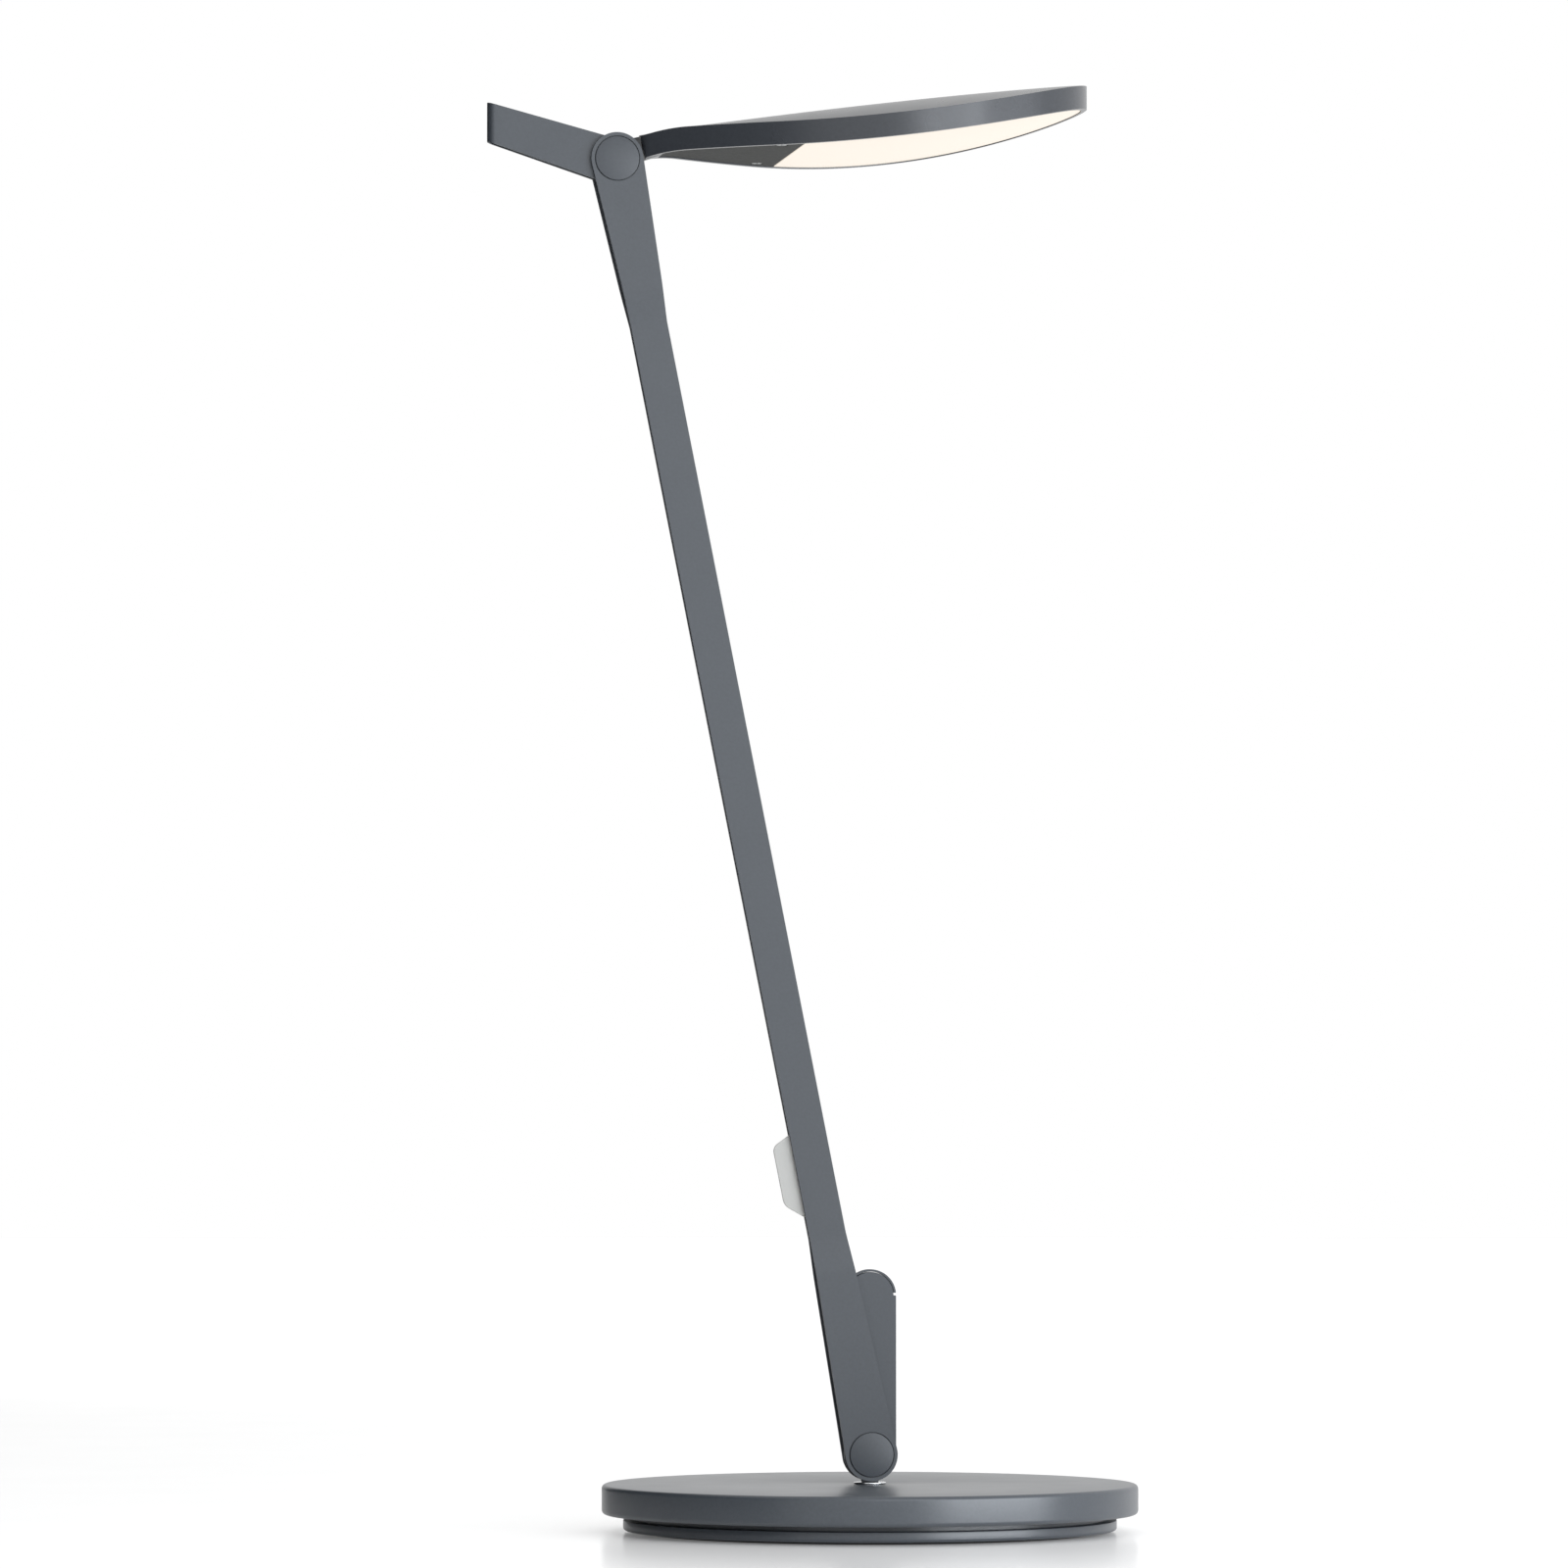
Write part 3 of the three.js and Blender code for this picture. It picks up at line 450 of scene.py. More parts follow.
def build_disc():
    """The turned disc, with a pocket below, a bore for the stem and a hole for the power socket."""
    sizes, _ = settings()
    low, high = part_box("base_disc")
    groove, groove_height = 83.5 * MM, 1.9 * MM
    skirt, pocket = 3 * MM, 3 * MM
    collar_overlap, bore_edge = 0.6 * MM, 0.3 * MM
    bore = size_of("swivel_stem").x / 2 - collar_overlap
    lip = low.z + groove_height
    radius, edge = high.x, sizes.rim_round
    profile = [
        (bore, low.z + pocket),
        (groove - skirt, low.z + pocket),
        (groove - skirt, low.z),
        (groove, low.z),
        (groove, lip),
        *arc((radius - edge, lip + edge), edge, -90, 0, 8),
        *arc((radius - edge, high.z - edge), edge, 0, 90, 8),
        *arc((bore + bore_edge, high.z - bore_edge), bore_edge, 90, 180, 3),
        (bore, low.z + pocket),
    ]
    socket_low, socket_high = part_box("dc_inlet")
    hole, hole_start, hole_end = 4.5 * MM, 70 * MM, 110 * MM
    middle = Vector((0, 0, (socket_low.z + socket_high.z) / 2))
    make_piece("base_disc_turned", turned(profile, Matrix.Identity(4), segments=256), "base", ["base_disc"],
               material("graphite_base_paint_lightened"),
               cutters=[drill(hole, hole_start, hole_end, along_y(middle))])


def build_plate():
    """The smaller plate under the disc, rounded below."""
    low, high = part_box("base_plate")
    lower_edge, upper_edge = 1.1 * MM, 0.3 * MM
    profile = [
        (0, low.z),
        *arc((high.x - lower_edge, low.z + lower_edge), lower_edge, -90, 0, 6),
        *arc((high.x - upper_edge, high.z - upper_edge), upper_edge, 0, 90, 2),
        (0, high.z),
    ]
    make_piece("base_plate_turned", turned(profile, Matrix.Identity(4), segments=256), "base",
               ["base_plate", "base_screw_1", "base_screw_2", "base_screw_3"],
               material("graphite_base_paint_lightened"))


def build_pad():
    """The rubber pad that the lamp stands on."""
    low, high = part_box("foot_pad")
    profile = disc_profile(high.x, low.z, high.z, edge=0.25 * MM, steps=2)
    make_piece("foot_pad_sheet", turned(profile, Matrix.Identity(4), segments=192), "base", ["foot_pad"],
               material("foamed_rubber"))


def build_stem():
    """Chromed stem with its collar, standing in the disc."""
    low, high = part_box("swivel_stem")
    collar = (high.x - low.x) / 2
    seat_gap = 0.1 * MM
    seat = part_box("base_disc")[1].z + seat_gap
    stem = 4.6 * MM
    lower_edge, upper_edge = 0.15 * MM, 0.2 * MM
    profile = [
        (0, low.z), (stem, low.z), (stem, seat),
        *arc((collar - lower_edge, seat + lower_edge), lower_edge, -90, 0, 3),
        *arc((collar - upper_edge, high.z - upper_edge), upper_edge, 0, 90, 3),
        (0, high.z),
    ]
    make_piece("swivel_stem_turned", turned(profile, Matrix.Identity(4), segments=96), "swivel",
               ["swivel_stem"], material("chromed_steel"))


# ------------------------------------------------------------------ post

KNUCKLE = size_of("post").x / 2
POST_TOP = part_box("post_cap")[1].z - KNUCKLE
POST_CAP, CAP_SEAT = 0.8 * MM, 0.15 * MM
CAP_START = 6  # degrees above the horizontal at which the cap's two ends stop


def build_post():
    """Flat upright with a round knuckle on a tenon, a rounded top and the strip that caps its edge."""
    sizes, _ = settings()
    low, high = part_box("post")
    centre = LOWER_PIVOT.z
    half_tenon, tenon_gap = 3 * MM, 0.02 * MM
    foot = math.degrees(math.asin(half_tenon / KNUCKLE))
    tenon_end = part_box("swivel_stem")[1].z + tenon_gap
    outline = [
        *arc((0, centre), KNUCKLE, 180, 270 - foot, 24),
        (-half_tenon, tenon_end), (half_tenon, tenon_end),
        *arc((0, centre), KNUCKLE, 270 + foot, 360, 24),
        (KNUCKLE, POST_TOP),
        *arc((0, POST_TOP), KNUCKLE - POST_CAP - CAP_SEAT, 0, 180, 48),
        (-KNUCKLE, POST_TOP),
    ]
    make_piece("post_plate", slab(outline, (low.y, high.y), Matrix.Identity(4)), "swivel", ["post"],
               material("graphite_arm_paint_shaded"), bevel=sizes.plate_edge)
    strip = [
        *arc((0, POST_TOP), KNUCKLE, CAP_START, 180 - CAP_START, 56),
        *arc((0, POST_TOP), KNUCKLE - POST_CAP, 180 - CAP_START, CAP_START, 56),
    ]
    make_piece("post_edge_cap", slab(strip, (low.y, high.y), Matrix.Identity(4)), "swivel", ["post_cap"],
               material("graphite_arm_paint_shaded"), bevel=0.12 * MM)


# ------------------------------------------------------------------ arm

ARM_PLACE = Matrix.Translation(LOWER_PIVOT) @ Matrix.Rotation(ARM_LEAN, 4, "Y")
HALF_BAR = 6.5 * MM
LOWER_SPLIT, UPPER_SPLIT = 79 * MM, ARM_LENGTH - 60 * MM  # where the bar becomes a fork
SPLAY = 14 * MM  # length over which a blade steps out
FORK_GAP, BAR_GAP = 2.8 * MM, 0.9 * MM  # from the middle plane to the blade's inner face
BLADE = 1.4 * MM  # thickness of a blade
CAP_RADIUS = size_of("lower_cap_near").x / 2
AXLE_HOLE = 3.3 * MM  # radius


def blade_offset(z):
    """How far the blade's inner face stands from the middle, at a height along the arm."""
    share = max((LOWER_SPLIT - z) / SPLAY, (z - UPPER_SPLIT) / SPLAY)
    share = min(max(share, 0), 1)
    eased = share * share * (3 - 2 * share)
    softness = 0.35
    return BAR_GAP + (FORK_GAP - BAR_GAP) * (softness * eased + (1 - softness) * share)


def tangent(distance):
    """Angle at a knuckle, from the arm's line, of the tangent from the bar's corner."""
    reach = math.hypot(distance, HALF_BAR)
    return math.degrees(math.atan2(HALF_BAR, distance) + math.acos(KNUCKLE / reach))


def build_blade(side, name, node):
    """One plate of the arm, stepped out into the fork at both ends, bored and recessed for its caps."""
    sizes, _ = settings()
    lower, upper = tangent(LOWER_SPLIT), tangent(ARM_LENGTH - UPPER_SPLIT)
    outline = [
        *arc((0, 0), KNUCKLE, 90 + lower, 450 - lower, 72),
        (HALF_BAR, LOWER_SPLIT), (HALF_BAR, UPPER_SPLIT),
        *arc((0, ARM_LENGTH), KNUCKLE, upper - 90, 270 - upper, 72),
        (-HALF_BAR, UPPER_SPLIT), (-HALF_BAR, LOWER_SPLIT),
    ]
    bm = slab(outline, (0, BLADE), Matrix.Identity(4))
    steps = 8
    for i in range(steps + 1):
        for z in (LOWER_SPLIT - SPLAY * i / steps, UPPER_SPLIT + SPLAY * i / steps):
            bmesh.ops.bisect_plane(bm, geom=[*bm.verts, *bm.edges, *bm.faces], dist=TINY,
                                   plane_co=(0, 0, z), plane_no=(0, 0, 1))
    for vert in bm.verts:
        vert.co.y = side * (vert.co.y + blade_offset(vert.co.z))
    bmesh.ops.transform(bm, matrix=ARM_PLACE, verts=bm.verts)
    recess, cap_gap = 0.7 * MM, 0.3 * MM
    floor, reach, through = FORK_GAP + BLADE - recess, 2 * MM, 6 * MM
    tools = []
    for z in (0, ARM_LENGTH):
        outwards = ARM_PLACE @ Matrix.Translation((0, 0, z)) @ Matrix.Rotation(-side * math.pi / 2, 4, "X")
        tools.append(drill(CAP_RADIUS + cap_gap, floor, floor + reach, outwards, segments=96))
        tools.append(drill(AXLE_HOLE, -through, through, outwards))
    make_piece(name, bm, "arm", [node], material("graphite_arm_paint_shaded"), bevel=sizes.plate_edge,
               cutters=tools)


def build_caps():
    """Round caps let into the knuckles, a little proud."""
    for where, z in (("lower", 0), ("upper", ARM_LENGTH)):
        for side, label in ((-1, "near"), (1, "far")):
            node = f"{where}_cap_{label}"
            low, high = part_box(node)
            inner, outer = sorted((abs(low.y), abs(high.y)))
            profile = disc_profile(CAP_RADIUS, inner, outer, edge=0.16 * MM, steps=3)
            place = ARM_PLACE @ Matrix.Translation((0, 0, z)) @ Matrix.Rotation(-side * math.pi / 2, 4, "X")
            make_piece(f"{node}_disc", turned(profile, place, segments=96), "arm", [node],
                       material("graphite_arm_paint_shaded"))


def rounded_corner(centre, before, after, radius):
    """Points on a curve that rounds a corner, between the directions of its two sides."""
    start, end = centre + before * radius, centre + after * radius
    steps = [i / 8 for i in range(9)]
    return [tuple(start * (1 - t) ** 2 + centre * 2 * t * (1 - t) + end * t * t) for t in steps]


def build_tab():
    """Frosted clear tab that stands out behind the bar."""
    low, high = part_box("clear_tab")
    half = (high.y - low.y) / 2
    sunk, proud = 4.4 * MM, 6.5 * MM
    foot, head = 86.8 * MM, 116.5 * MM
    root, edge = -HALF_BAR + sunk, -HALF_BAR - proud
    upper, lower = Vector((edge, 113.4 * MM)), Vector((edge, 92.4 * MM))
    towards_head = (Vector((-HALF_BAR, head)) - upper).normalized()
    towards_foot = (Vector((-HALF_BAR, foot)) - lower).normalized()
    down, corner = Vector((0, -1)), 2.2 * MM
    outline = [
        (root, foot), (root, head), (-HALF_BAR, head),
        *rounded_corner(upper, towards_head, down, corner),
        *rounded_corner(lower, -down, towards_foot, corner),
        (-HALF_BAR, foot),
    ]
    make_piece("tab_moulding", slab(outline, (-half, half), ARM_PLACE), "arm", ["clear_tab"],
               material("frosted_polycarbonate"), bevel=0.18 * MM)


# ------------------------------------------------------------------ loop handle

LOOP_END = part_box("loop_handle")[0].x - UPPER_PIVOT.x
LOOP_HALF = size_of("loop_handle").y / 2
STRIP = 0.9 * MM  # thickness


def tangent_point(x, z, radius, side):
    """Where the line from (x, z) touches a circle of that radius round the pivot."""
    angle = math.atan2(z, x) + side * math.acos(radius / math.hypot(x, z))
    return radius * math.cos(angle), radius * math.sin(angle)


def line(x, start, end):
    """Height of the straight line through two points, at a distance along it."""
    return start[1] + (end[1] - start[1]) * (x - start[0]) / (end[0] - start[0])


def loop_heights(x):
    """Lowest and highest point of the loop's side outline at a distance from the pivot: straight
    edges from the bend run into the round of the knuckle."""
    top_end, foot_end, top_offset = 19.3 * MM, 5.4 * MM, 6.9 * MM
    foot = tangent_point(LOOP_END, foot_end, KNUCKLE, 1)
    top = tangent_point(LOOP_END, top_end, top_offset, -1)
    circle = math.sqrt(max(KNUCKLE ** 2 - x * x, 0))
    lower = line(x, (LOOP_END, foot_end), foot) if x < foot[0] else -circle
    upper = line(x, (LOOP_END, top_end), top) if x < top[0] else circle
    return lower, max(upper, circle)


def loop_path():
    """(distance, turning) from the near knuckle round the bend to the far one. The distance is
    measured from the pivot, and the turning, in degrees, is 0 on the near side and 180 on the far."""
    bend = LOOP_END + LOOP_HALF
    turnings = range(6, 91, 6)
    knuckle = [(KNUCKLE * math.cos(math.radians(a)), 0) for a in range(0, 181, 4)]
    straight = [(-KNUCKLE + (bend + KNUCKLE) * i / 16, 0) for i in range(1, 17)]
    turn = [(bend - LOOP_HALF * math.sin(math.radians(a)), a) for a in turnings]
    half_way = knuckle + straight + turn
    return half_way + [(x, 180 - a) for x, a in reversed(half_way[:-1])]


def build_loop():
    """A strip bent into a long loop, deep at its knuckles and tapering to the bend at the back."""
    bend = LOOP_END + LOOP_HALF
    bm = bmesh.new()
    rows = []
    for x, turning in loop_path():
        angle = math.radians(turning)
        row = []
        for depth in (LOOP_HALF, LOOP_HALF - STRIP):
            along = x if turning in (0, 180) else bend - depth * math.sin(angle)
            spots = [Vector((along, -math.cos(angle) * depth, z)) for z in loop_heights(max(x, LOOP_END))]
            row.append([bm.verts.new(UPPER_PIVOT + spot) for spot in spots])
        rows.append(row)
    for this, after in zip(rows, rows[1:]):
        (a, b), (c, d) = this
        (e, f), (g, h) = after
        for corners in ((a, e, f, b), (c, d, h, g), (b, f, h, d), (a, c, g, e)):
            bm.faces.new(corners)
    for (a, b), (c, d) in (rows[0], rows[-1]):
        bm.faces.new((a, b, d, c))
    through = 8 * MM
    make_piece("loop_strip", bm, "tilt", ["loop_handle"], material("graphite_arm_paint_shaded"),
               bevel=0.18 * MM, cutters=[drill(AXLE_HOLE, -through, through, along_y(UPPER_PIVOT))])


# ------------------------------------------------------------------ head

# Stations run from the pivot towards the tip, and heights are above the pivot.
TIP, BROADEST, HALF_WIDTH = 169 * MM, 114 * MM, 53.6 * MM
NECK, NECK_HALF = 8 * MM, 2.4 * MM
RIM_HEIGHT = 8.15 * MM
WALL, ROOF = 2 * MM, 1.5 * MM
NECK_FACE = 9.4 * MM
ROOM_START = 16 * MM
SEAM = 62.5 * MM
PANEL_RECESS, PANEL_THICKNESS, PANEL_GAP = 0.35 * MM, 1.6 * MM, 0.15 * MM
SCREW_STATION, SCREW_ACROSS = 55 * MM, 28.5 * MM
OUTLINE_STEPS = 56


def bezier(points, t):
    """A point on the cubic curve with those four control points."""
    a, b, c, d = points
    return tuple(p * (1 - t) ** 3 + 3 * q * t * (1 - t) ** 2 + 3 * r * t * t * (1 - t) + s * t ** 3
                 for p, q, r, s in zip(a, b, c, d))


def half_outline():
    """(station, half width) points of the leaf from its neck to its tip."""
    neck_pull, neck_flare, flank_pull, nose_pull, nose_round = 14 * MM, 12.6 * MM, 0.6, 0.6, 0.56
    reach = TIP - BROADEST
    flank = ((NECK, NECK_HALF), (NECK + neck_pull, NECK_HALF + neck_flare),
             (flank_pull * BROADEST, HALF_WIDTH), (BROADEST, HALF_WIDTH))
    nose = ((BROADEST, HALF_WIDTH), (BROADEST + nose_pull * reach, HALF_WIDTH),
            (TIP, nose_round * HALF_WIDTH), (TIP, 0))
    shares = [i / OUTLINE_STEPS for i in range(OUTLINE_STEPS + 1)]
    return [bezier(flank, t) for t in shares[:-1]] + [bezier(nose, t) for t in shares]


def inset_outline(inset):
    """The same outline moved inwards, square to its edge."""
    points = half_outline()
    moved = []
    for i, (x, y) in enumerate(points):
        before, after = points[max(i - 1, 0)], points[min(i + 1, len(points) - 1)]
        if i == len(points) - 1:
            after = (x, -1 * MM)  # beyond the tip the outline turns to the far side
        along = Vector((after[0] - before[0], after[1] - before[1])).normalized()
        moved.append((x + along.y * inset, max(y - along.x * inset, 0)))
    return moved


def rim_bottom(station):
    """Lower edge of the rim: it dips at the neck, runs level, then rises in a long arc."""
    level, rise_start, rise_radius = 2.3 * MM, 52 * MM, 397 * MM
    dip_start, dip_length, dip_depth = 24 * MM, 14 * MM, 1.9 * MM
    past = max(0, station - rise_start)
    dip = dip_depth * (max(0, dip_start - station) / dip_length) ** 2
    return level - dip + rise_radius - math.sqrt(rise_radius ** 2 - past ** 2)


def dome_top(station, across):
    """Height of the roof; across is 0 on the spine and 1 on the rim."""
    start, start_height, climb, crown = 12 * MM, 9.3, 19.3, 1.4
    share = (station - start) / (TIP - start)
    spine = (start_height + climb * share + crown * 4 * share * (1 - share)) * MM
    rim = rim_bottom(station) + RIM_HEIGHT
    return rim + max(0, spine - rim) * (1 - across ** 2)


def grid(bm, outline, height, lanes):
    """A sheet over the leaf: rows along the outline, lanes from the near rim to the far rim."""
    shares = [-math.cos(math.pi * j / lanes) for j in range(lanes + 1)]
    return [[bm.verts.new((x, share * y, height(x, abs(share)))) for share in shares] for x, y in outline]


def sheet_faces(bm, rows):
    """The faces of a sheet."""
    for this, after in zip(rows, rows[1:]):
        for j in range(len(this) - 1):
            bm.faces.new((this[j], this[j + 1], after[j + 1], after[j]))


def join_sides(bm, low, high):
    """Walls between the near edges and the far edges of two sheets with the same rows and lanes."""
    for side in (0, -1):
        for i in range(len(low) - 1):
            bm.faces.new((low[i][side], low[i + 1][side], high[i + 1][side], high[i][side]))


def join_ends(bm, low, high, row):
    """A wall between the same row of two sheets."""
    for j in range(len(low[row]) - 1):
        bm.faces.new((low[row][j], low[row][j + 1], high[row][j + 1], high[row][j]))


def square_to_roll(bm, distance):
    """Moves everything behind a plane square to the roll axis onto that plane."""
    start = ROLL_START - UPPER_PIVOT
    for vert in bm.verts:
        reach = (vert.co - start).dot(ROLL_AXIS)
        if reach < distance:
            vert.co.x += (distance - reach) / ROLL_AXIS.x


def build_shell():
    """The leaf-shaped housing: domed roof, upright rim, turned-in lip and the room inside."""
    sizes, _ = settings()
    lanes, narrowing = 32, 0.98
    outer = half_outline()
    inner = [(max(x, ROOM_START), y if x > ROOM_START else y * narrowing) for x, y in inset_outline(WALL)]
    bm = bmesh.new()
    roof = grid(bm, outer, dome_top, lanes)
    sheet_faces(bm, roof)
    lip = grid(bm, outer, lambda x, _: rim_bottom(x), lanes)
    mouth = grid(bm, inner, lambda x, _: rim_bottom(x), lanes)
    ceiling = grid(bm, inner, lambda x, across: dome_top(x, across) - ROOF, lanes)
    sheet_faces(bm, ceiling)
    for below, above in ((lip, roof), (lip, mouth), (mouth, ceiling)):
        join_sides(bm, below, above)
        join_ends(bm, below, above, 0)
    square_to_roll(bm, NECK_FACE)
    loose = [vert for vert in bm.verts if not vert.link_faces]
    bmesh.ops.delete(bm, geom=loose, context="VERTS")
    bmesh.ops.translate(bm, verts=bm.verts, vec=UPPER_PIVOT)
    towards_head = Vector((0, 0, 1)).rotation_difference(ROLL_AXIS).to_matrix().to_4x4()
    spigot_hole = drill(1.7 * MM, 5 * MM, 17 * MM, Matrix.Translation(ROLL_START) @ towards_head, segments=32)
    make_piece("head_shell_skin", bm, "head", ["head_shell"], material("graphite_head_paint_shaded"),
               bevel=sizes.shell_edge, segments=3, cutters=[spigot_hole], sharp=40)


def at_station(outline, station):
    """The point of an outline at a station between two of its points."""
    after = next(i for i, point in enumerate(outline) if point[0] >= station)
    (x0, y0), (x1, y1) = outline[after - 1], outline[after]
    return station, y0 + (y1 - y0) * (station - x0) / (x1 - x0)


def panel(name, node, finish, start, end, holes=()):
    """A thin panel inside the rim, from one station to another, following the rim's curve."""
    outline = inset_outline(WALL + 2 * PANEL_GAP)
    points = [at_station(outline, start)] + [point for point in outline if start < point[0] < end]
    if end < outline[-1][0]:
        points.append(at_station(outline, end))
    lanes = 12
    bm = bmesh.new()
    low = grid(bm, points, lambda x, _: rim_bottom(x) + PANEL_RECESS, lanes)
    high = grid(bm, points, lambda x, _: rim_bottom(x) + PANEL_RECESS + PANEL_THICKNESS, lanes)
    sheet_faces(bm, low)
    sheet_faces(bm, high)
    join_sides(bm, low, high)
    join_ends(bm, low, high, 0)
    join_ends(bm, low, high, -1)
    bmesh.ops.translate(bm, verts=bm.verts, vec=UPPER_PIVOT)
    make_piece(name, bm, "head", [node], finish, bevel=0.15 * MM, cutters=holes)


def build_panels():
    """The moulded cover at the neck, with its stepped screw holes, and the lit opal panel."""
    head, shank, seat, above = 2.2 * MM, 1.3 * MM, 3.55 * MM, 8 * MM
    stepped = [(0, 0), (head, 0), (head, seat), (shank, seat), (shank, above), (0, above)]
    holes = []
    for side in (-1, 1):
        spot = UPPER_PIVOT + Vector((SCREW_STATION, side * SCREW_ACROSS, 0))
        holes.append(cutter(turned(stepped, Matrix.Translation(spot), segments=32)))
    panel("neck_cover", "head_cover", material("grey_abs"), ROOM_START - 0.1 * MM,
          SEAM - PANEL_GAP, holes)
    panel("opal_panel", "diffuser", material("lit_opal_acrylic"), SEAM + PANEL_GAP, TIP)


def build_cover_screws():
    """Pan-head screws with a cross recess, in the cover."""
    edge, head_height, shank = 0.2 * MM, 0.7 * MM, 1 * MM
    narrow, wide, below, deep = 0.45 * MM, 2.2 * MM, 1 * MM, 0.4 * MM
    for node in ("cover_screw_1", "cover_screw_2"):
        low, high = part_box(node)
        head = (high.x - low.x) / 2
        profile = [
            (0, low.z),
            *arc((head - edge, low.z + edge), edge, -90, 0, 3),
            (head, low.z + head_height), (shank, low.z + head_height),
            (shank, high.z), (0, high.z),
        ]
        place = Matrix.Translation(((low.x + high.x) / 2, (low.y + high.y) / 2, 0))
        tools = []
        for width, length in ((narrow, wide), (wide, narrow)):
            cross = [(-width / 2, low.z - below), (width / 2, low.z - below),
                     (width / 2, low.z + deep), (-width / 2, low.z + deep)]
            tools.append(cutter(slab(cross, (-length / 2, length / 2), place)))
        make_piece(f"{node}_cross_recess", turned(profile, place, segments=32), "head", [node],
                   material("zinc_plated_steel"), cutters=tools)


# ------------------------------------------------------------------ pieces kept from the frame

KEPT = {
    "black_nylon": ["neck_hub", "dc_inlet", "flat_lead"],
    "natural_nylon": ["swivel_washer", "pivot_washer_far", "pivot_washer_near", "reflector"],
    "zinc_plated_steel": ["swivel_nut", "lower_axle", "upper_axle", "keeper_washer", "keeper_screw"],
    "spacer_abs": ["arm_spacer"],
    "solder_mask_board": ["control_board", "led_board", "touch_board"],
    "cast_clear_acrylic": ["light_guide"],
}


def paint_kept_nodes():
    """Finishes for the nodes whose shape is already right."""
    for finish, names in KEPT.items():
        for name in names:
            node = frame["nodes"][name]
            node.data.materials.clear()
            node.data.materials.append(material(finish))


# ------------------------------------------------------------------ stage


def plain_material(name, colour, roughness, strength=0.0):
    """An almost even finish for the studio, which may glow a little."""
    made, tree, shader = start_material(name, {
        "Roughness": roughness, "Emission Color": (*colour, 1), "Emission Strength": strength})
    tint(tree, shader, colour, grain(tree, 60 * MM), change=0.01)
    return made


def round_about(azimuth, distance, height):
    """A point round the lamp; azimuth 0 is towards -Y, 90 towards +X."""
    turn = math.radians(azimuth)
    return Vector((math.sin(turn) * distance, -math.cos(turn) * distance, height))


def build_floor():
    """A pale table top, glossy enough to mirror the base where the lamp stands."""
    bm = bmesh.new()
    bmesh.ops.create_circle(bm, cap_ends=True, segments=96, radius=6.0)
    mesh = bpy.data.meshes.new("floor")
    bm.to_mesh(mesh)
    bm.free()
    floor = bpy.data.objects.new("floor", mesh)
    floor.data.materials.append(plain_material("white_table", srgb("#f4f4f4"), roughness=0.2, strength=0.12))
    bpy.context.scene.collection.objects.link(floor)


def build_room():
    """White surroundings on every side, and colours shown without a film look."""
    scene = bpy.context.scene
    world = bpy.data.worlds.new("white_room")
    world.use_nodes = True
    background = world.node_tree.nodes["Background"]
    background.inputs["Color"].default_value = (1, 1, 1, 1)
    background.inputs["Strength"].default_value = 1.0
    scene.world = world
    scene.view_settings.view_transform = "Standard"
    scene.view_settings.look = "None"


def dark_card(azimuth):
    """An upright dark card of the studio, unseen by the camera, facing the lamp."""
    name = f"dark_card_{-azimuth}"
    half_width, half_height, distance, height = 0.65, 0.9, 1.4, 0.8
    bm = bmesh.new()
    for x, z in ((-1, -1), (1, -1), (1, 1), (-1, 1)):
        bm.verts.new((x * half_width, 0, z * half_height))
    bm.faces.new(bm.verts)
    mesh = bpy.data.meshes.new(name)
    bm.to_mesh(mesh)
    bm.free()
    card = bpy.data.objects.new(name, mesh)
    spot = round_about(azimuth, distance, height)
    card.matrix_world = Matrix.Translation(spot) @ Matrix.Rotation(math.radians(azimuth), 4, "Z")
    card.data.materials.append(bpy.data.materials["black_card"])
    card.visible_camera = False
    bpy.context.scene.collection.objects.link(card)


def soft_light(name, azimuth, height, width, tall, power, target):
    """A soft rectangular light, unseen by the camera, aimed at a point."""
    distance = 1.6
    lamp = bpy.data.lights.new(name, "AREA")
    lamp.shape, lamp.size, lamp.size_y, lamp.energy = "RECTANGLE", width, tall, power
    lamp.color = srgb("#f0f5fb")
    light = bpy.data.objects.new(name, lamp)
    light.location = round_about(azimuth, distance, height)
    light.rotation_mode = "QUATERNION"
    light.rotation_quaternion = (target - light.location).to_track_quat("-Z", "Y")
    light.visible_camera = False
    bpy.context.scene.collection.objects.link(light)


def build_lights():
    """Dark cards on the left, which darken the sides that face them, a long low soft light on the
    right and a smaller one high in front, for the rim of the head."""
    plain_material("black_card", srgb("#101010"), roughness=0.9)
    for azimuth in (-70, -105, -140):
        dark_card(azimuth)
    middle = Vector((0, 0, 0.25))
    soft_light("key_light", 44, height=0.28, width=1.5, tall=0.56, power=20, target=middle)
    soft_light("head_light", 8, height=0.7, width=1.0, tall=0.25, power=5, target=UPPER_PIVOT)


def build_camera():
    """Long lens, at a height between the base and the head, a little to the left."""
    target = Vector((-30.8 * MM, 0, 265 * MM))
    azimuth, elevation, distance = math.radians(-9), math.radians(-2.2), 2.89
    back = Vector((math.sin(azimuth) * math.cos(elevation), -math.cos(azimuth) * math.cos(elevation),
                   math.sin(elevation)))
    data = bpy.data.cameras.new("camera")
    data.lens, data.sensor_width = 187, 36
    data.clip_start, data.clip_end = 0.01, 50
    camera = bpy.data.objects.new("camera", data)
    camera.location = target + back * distance
    camera.rotation_mode = "QUATERNION"
    camera.rotation_quaternion = (-back).to_track_quat("-Z", "Y")
    bpy.context.scene.collection.objects.link(camera)
    bpy.context.scene.camera = camera


# ------------------------------------------------------------------ operators and panel


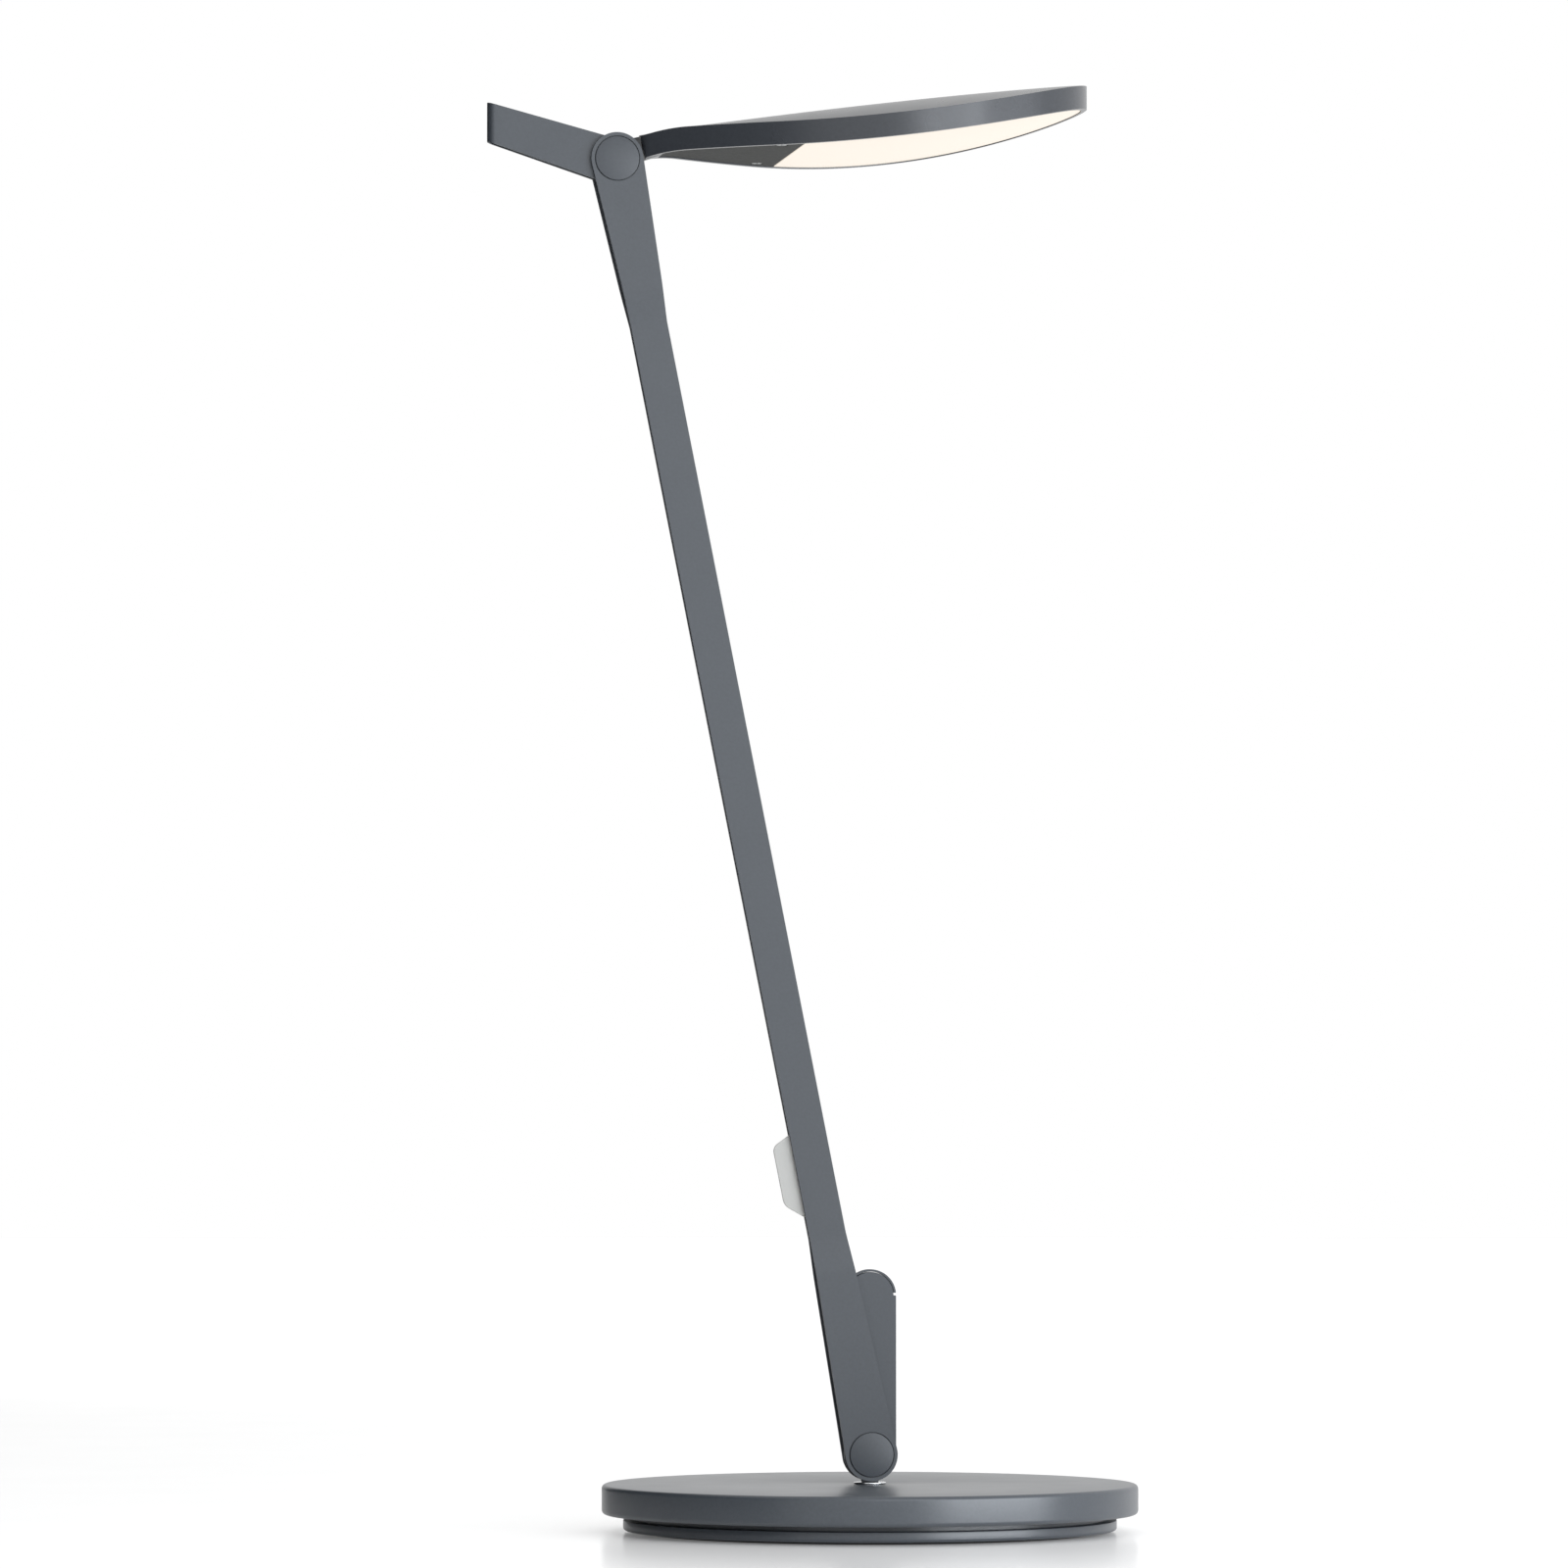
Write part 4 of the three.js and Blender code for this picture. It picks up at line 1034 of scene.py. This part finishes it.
class BuildStage(bpy.types.Operator):
    """Add the floor, the white room, the lights and the camera"""

    bl_idname = "desk_lamp.stage"
    bl_label = "Stage"

    def execute(self, context):
        build_floor()
        build_room()
        build_lights()
        build_camera()
        return {"FINISHED"}


class BuildBase(bpy.types.Operator):
    """Add the disc, its plate and the rubber pad"""

    bl_idname = "desk_lamp.base"
    bl_label = "Base"

    def execute(self, context):
        build_disc()
        build_plate()
        build_pad()
        return {"FINISHED"}


class BuildPost(bpy.types.Operator):
    """Add the chromed stem, the post and its edge cap"""

    bl_idname = "desk_lamp.post"
    bl_label = "Post"

    def execute(self, context):
        build_stem()
        build_post()
        return {"FINISHED"}


class BuildArm(bpy.types.Operator):
    """Add the two blades, their caps and the clear tab"""

    bl_idname = "desk_lamp.arm"
    bl_label = "Arm"

    def execute(self, context):
        build_blade(-1, "blade_near", "arm_blade_near")
        build_blade(1, "blade_far", "arm_blade_far")
        build_caps()
        build_tab()
        return {"FINISHED"}


class BuildLoop(bpy.types.Operator):
    """Add the loop handle behind the head"""

    bl_idname = "desk_lamp.loop"
    bl_label = "Loop handle"

    def execute(self, context):
        build_loop()
        return {"FINISHED"}


class BuildHead(bpy.types.Operator):
    """Add the leaf-shaped shell, the cover, the lit panel and the screws"""

    bl_idname = "desk_lamp.head"
    bl_label = "Head"

    def execute(self, context):
        build_shell()
        build_panels()
        build_cover_screws()
        return {"FINISHED"}


class PaintKept(bpy.types.Operator):
    """Give the pieces kept from the frame their finishes"""

    bl_idname = "desk_lamp.kept"
    bl_label = "Inner pieces"

    def execute(self, context):
        paint_kept_nodes()
        return {"FINISHED"}


STEPS = (BuildStage, BuildBase, BuildPost, BuildArm, BuildLoop, BuildHead, PaintKept)


class DeskLampPanel(bpy.types.Panel):
    """Lists the lamp's settings and its building steps"""

    bl_idname = "VIEW3D_PT_desk_lamp"
    bl_label = "Desk Lamp"
    bl_space_type = "VIEW_3D"
    bl_region_type = "UI"
    bl_category = "Desk Lamp"

    def draw(self, context):
        for group in (context.scene.desk_lamp_sizes, context.scene.desk_lamp_colours):
            for name in group.__annotations__:
                self.layout.prop(group, name)
        for step in STEPS:
            self.layout.operator(step.bl_idname)


CLASSES = (DeskLampSizes, DeskLampColours, *STEPS, DeskLampPanel)


def register():
    for cls in CLASSES:
        bpy.utils.register_class(cls)
    bpy.types.Scene.desk_lamp_sizes = bpy.props.PointerProperty(type=DeskLampSizes)
    bpy.types.Scene.desk_lamp_colours = bpy.props.PointerProperty(type=DeskLampColours)


def unregister():
    del bpy.types.Scene.desk_lamp_colours
    del bpy.types.Scene.desk_lamp_sizes
    for cls in reversed(CLASSES):
        bpy.utils.unregister_class(cls)


def main():
    """Builds the lamp."""
    register()
    for step in STEPS:
        group, name = step.bl_idname.split(".")
        getattr(getattr(bpy.ops, group), name)()


if __name__ == "__main__":
    main()
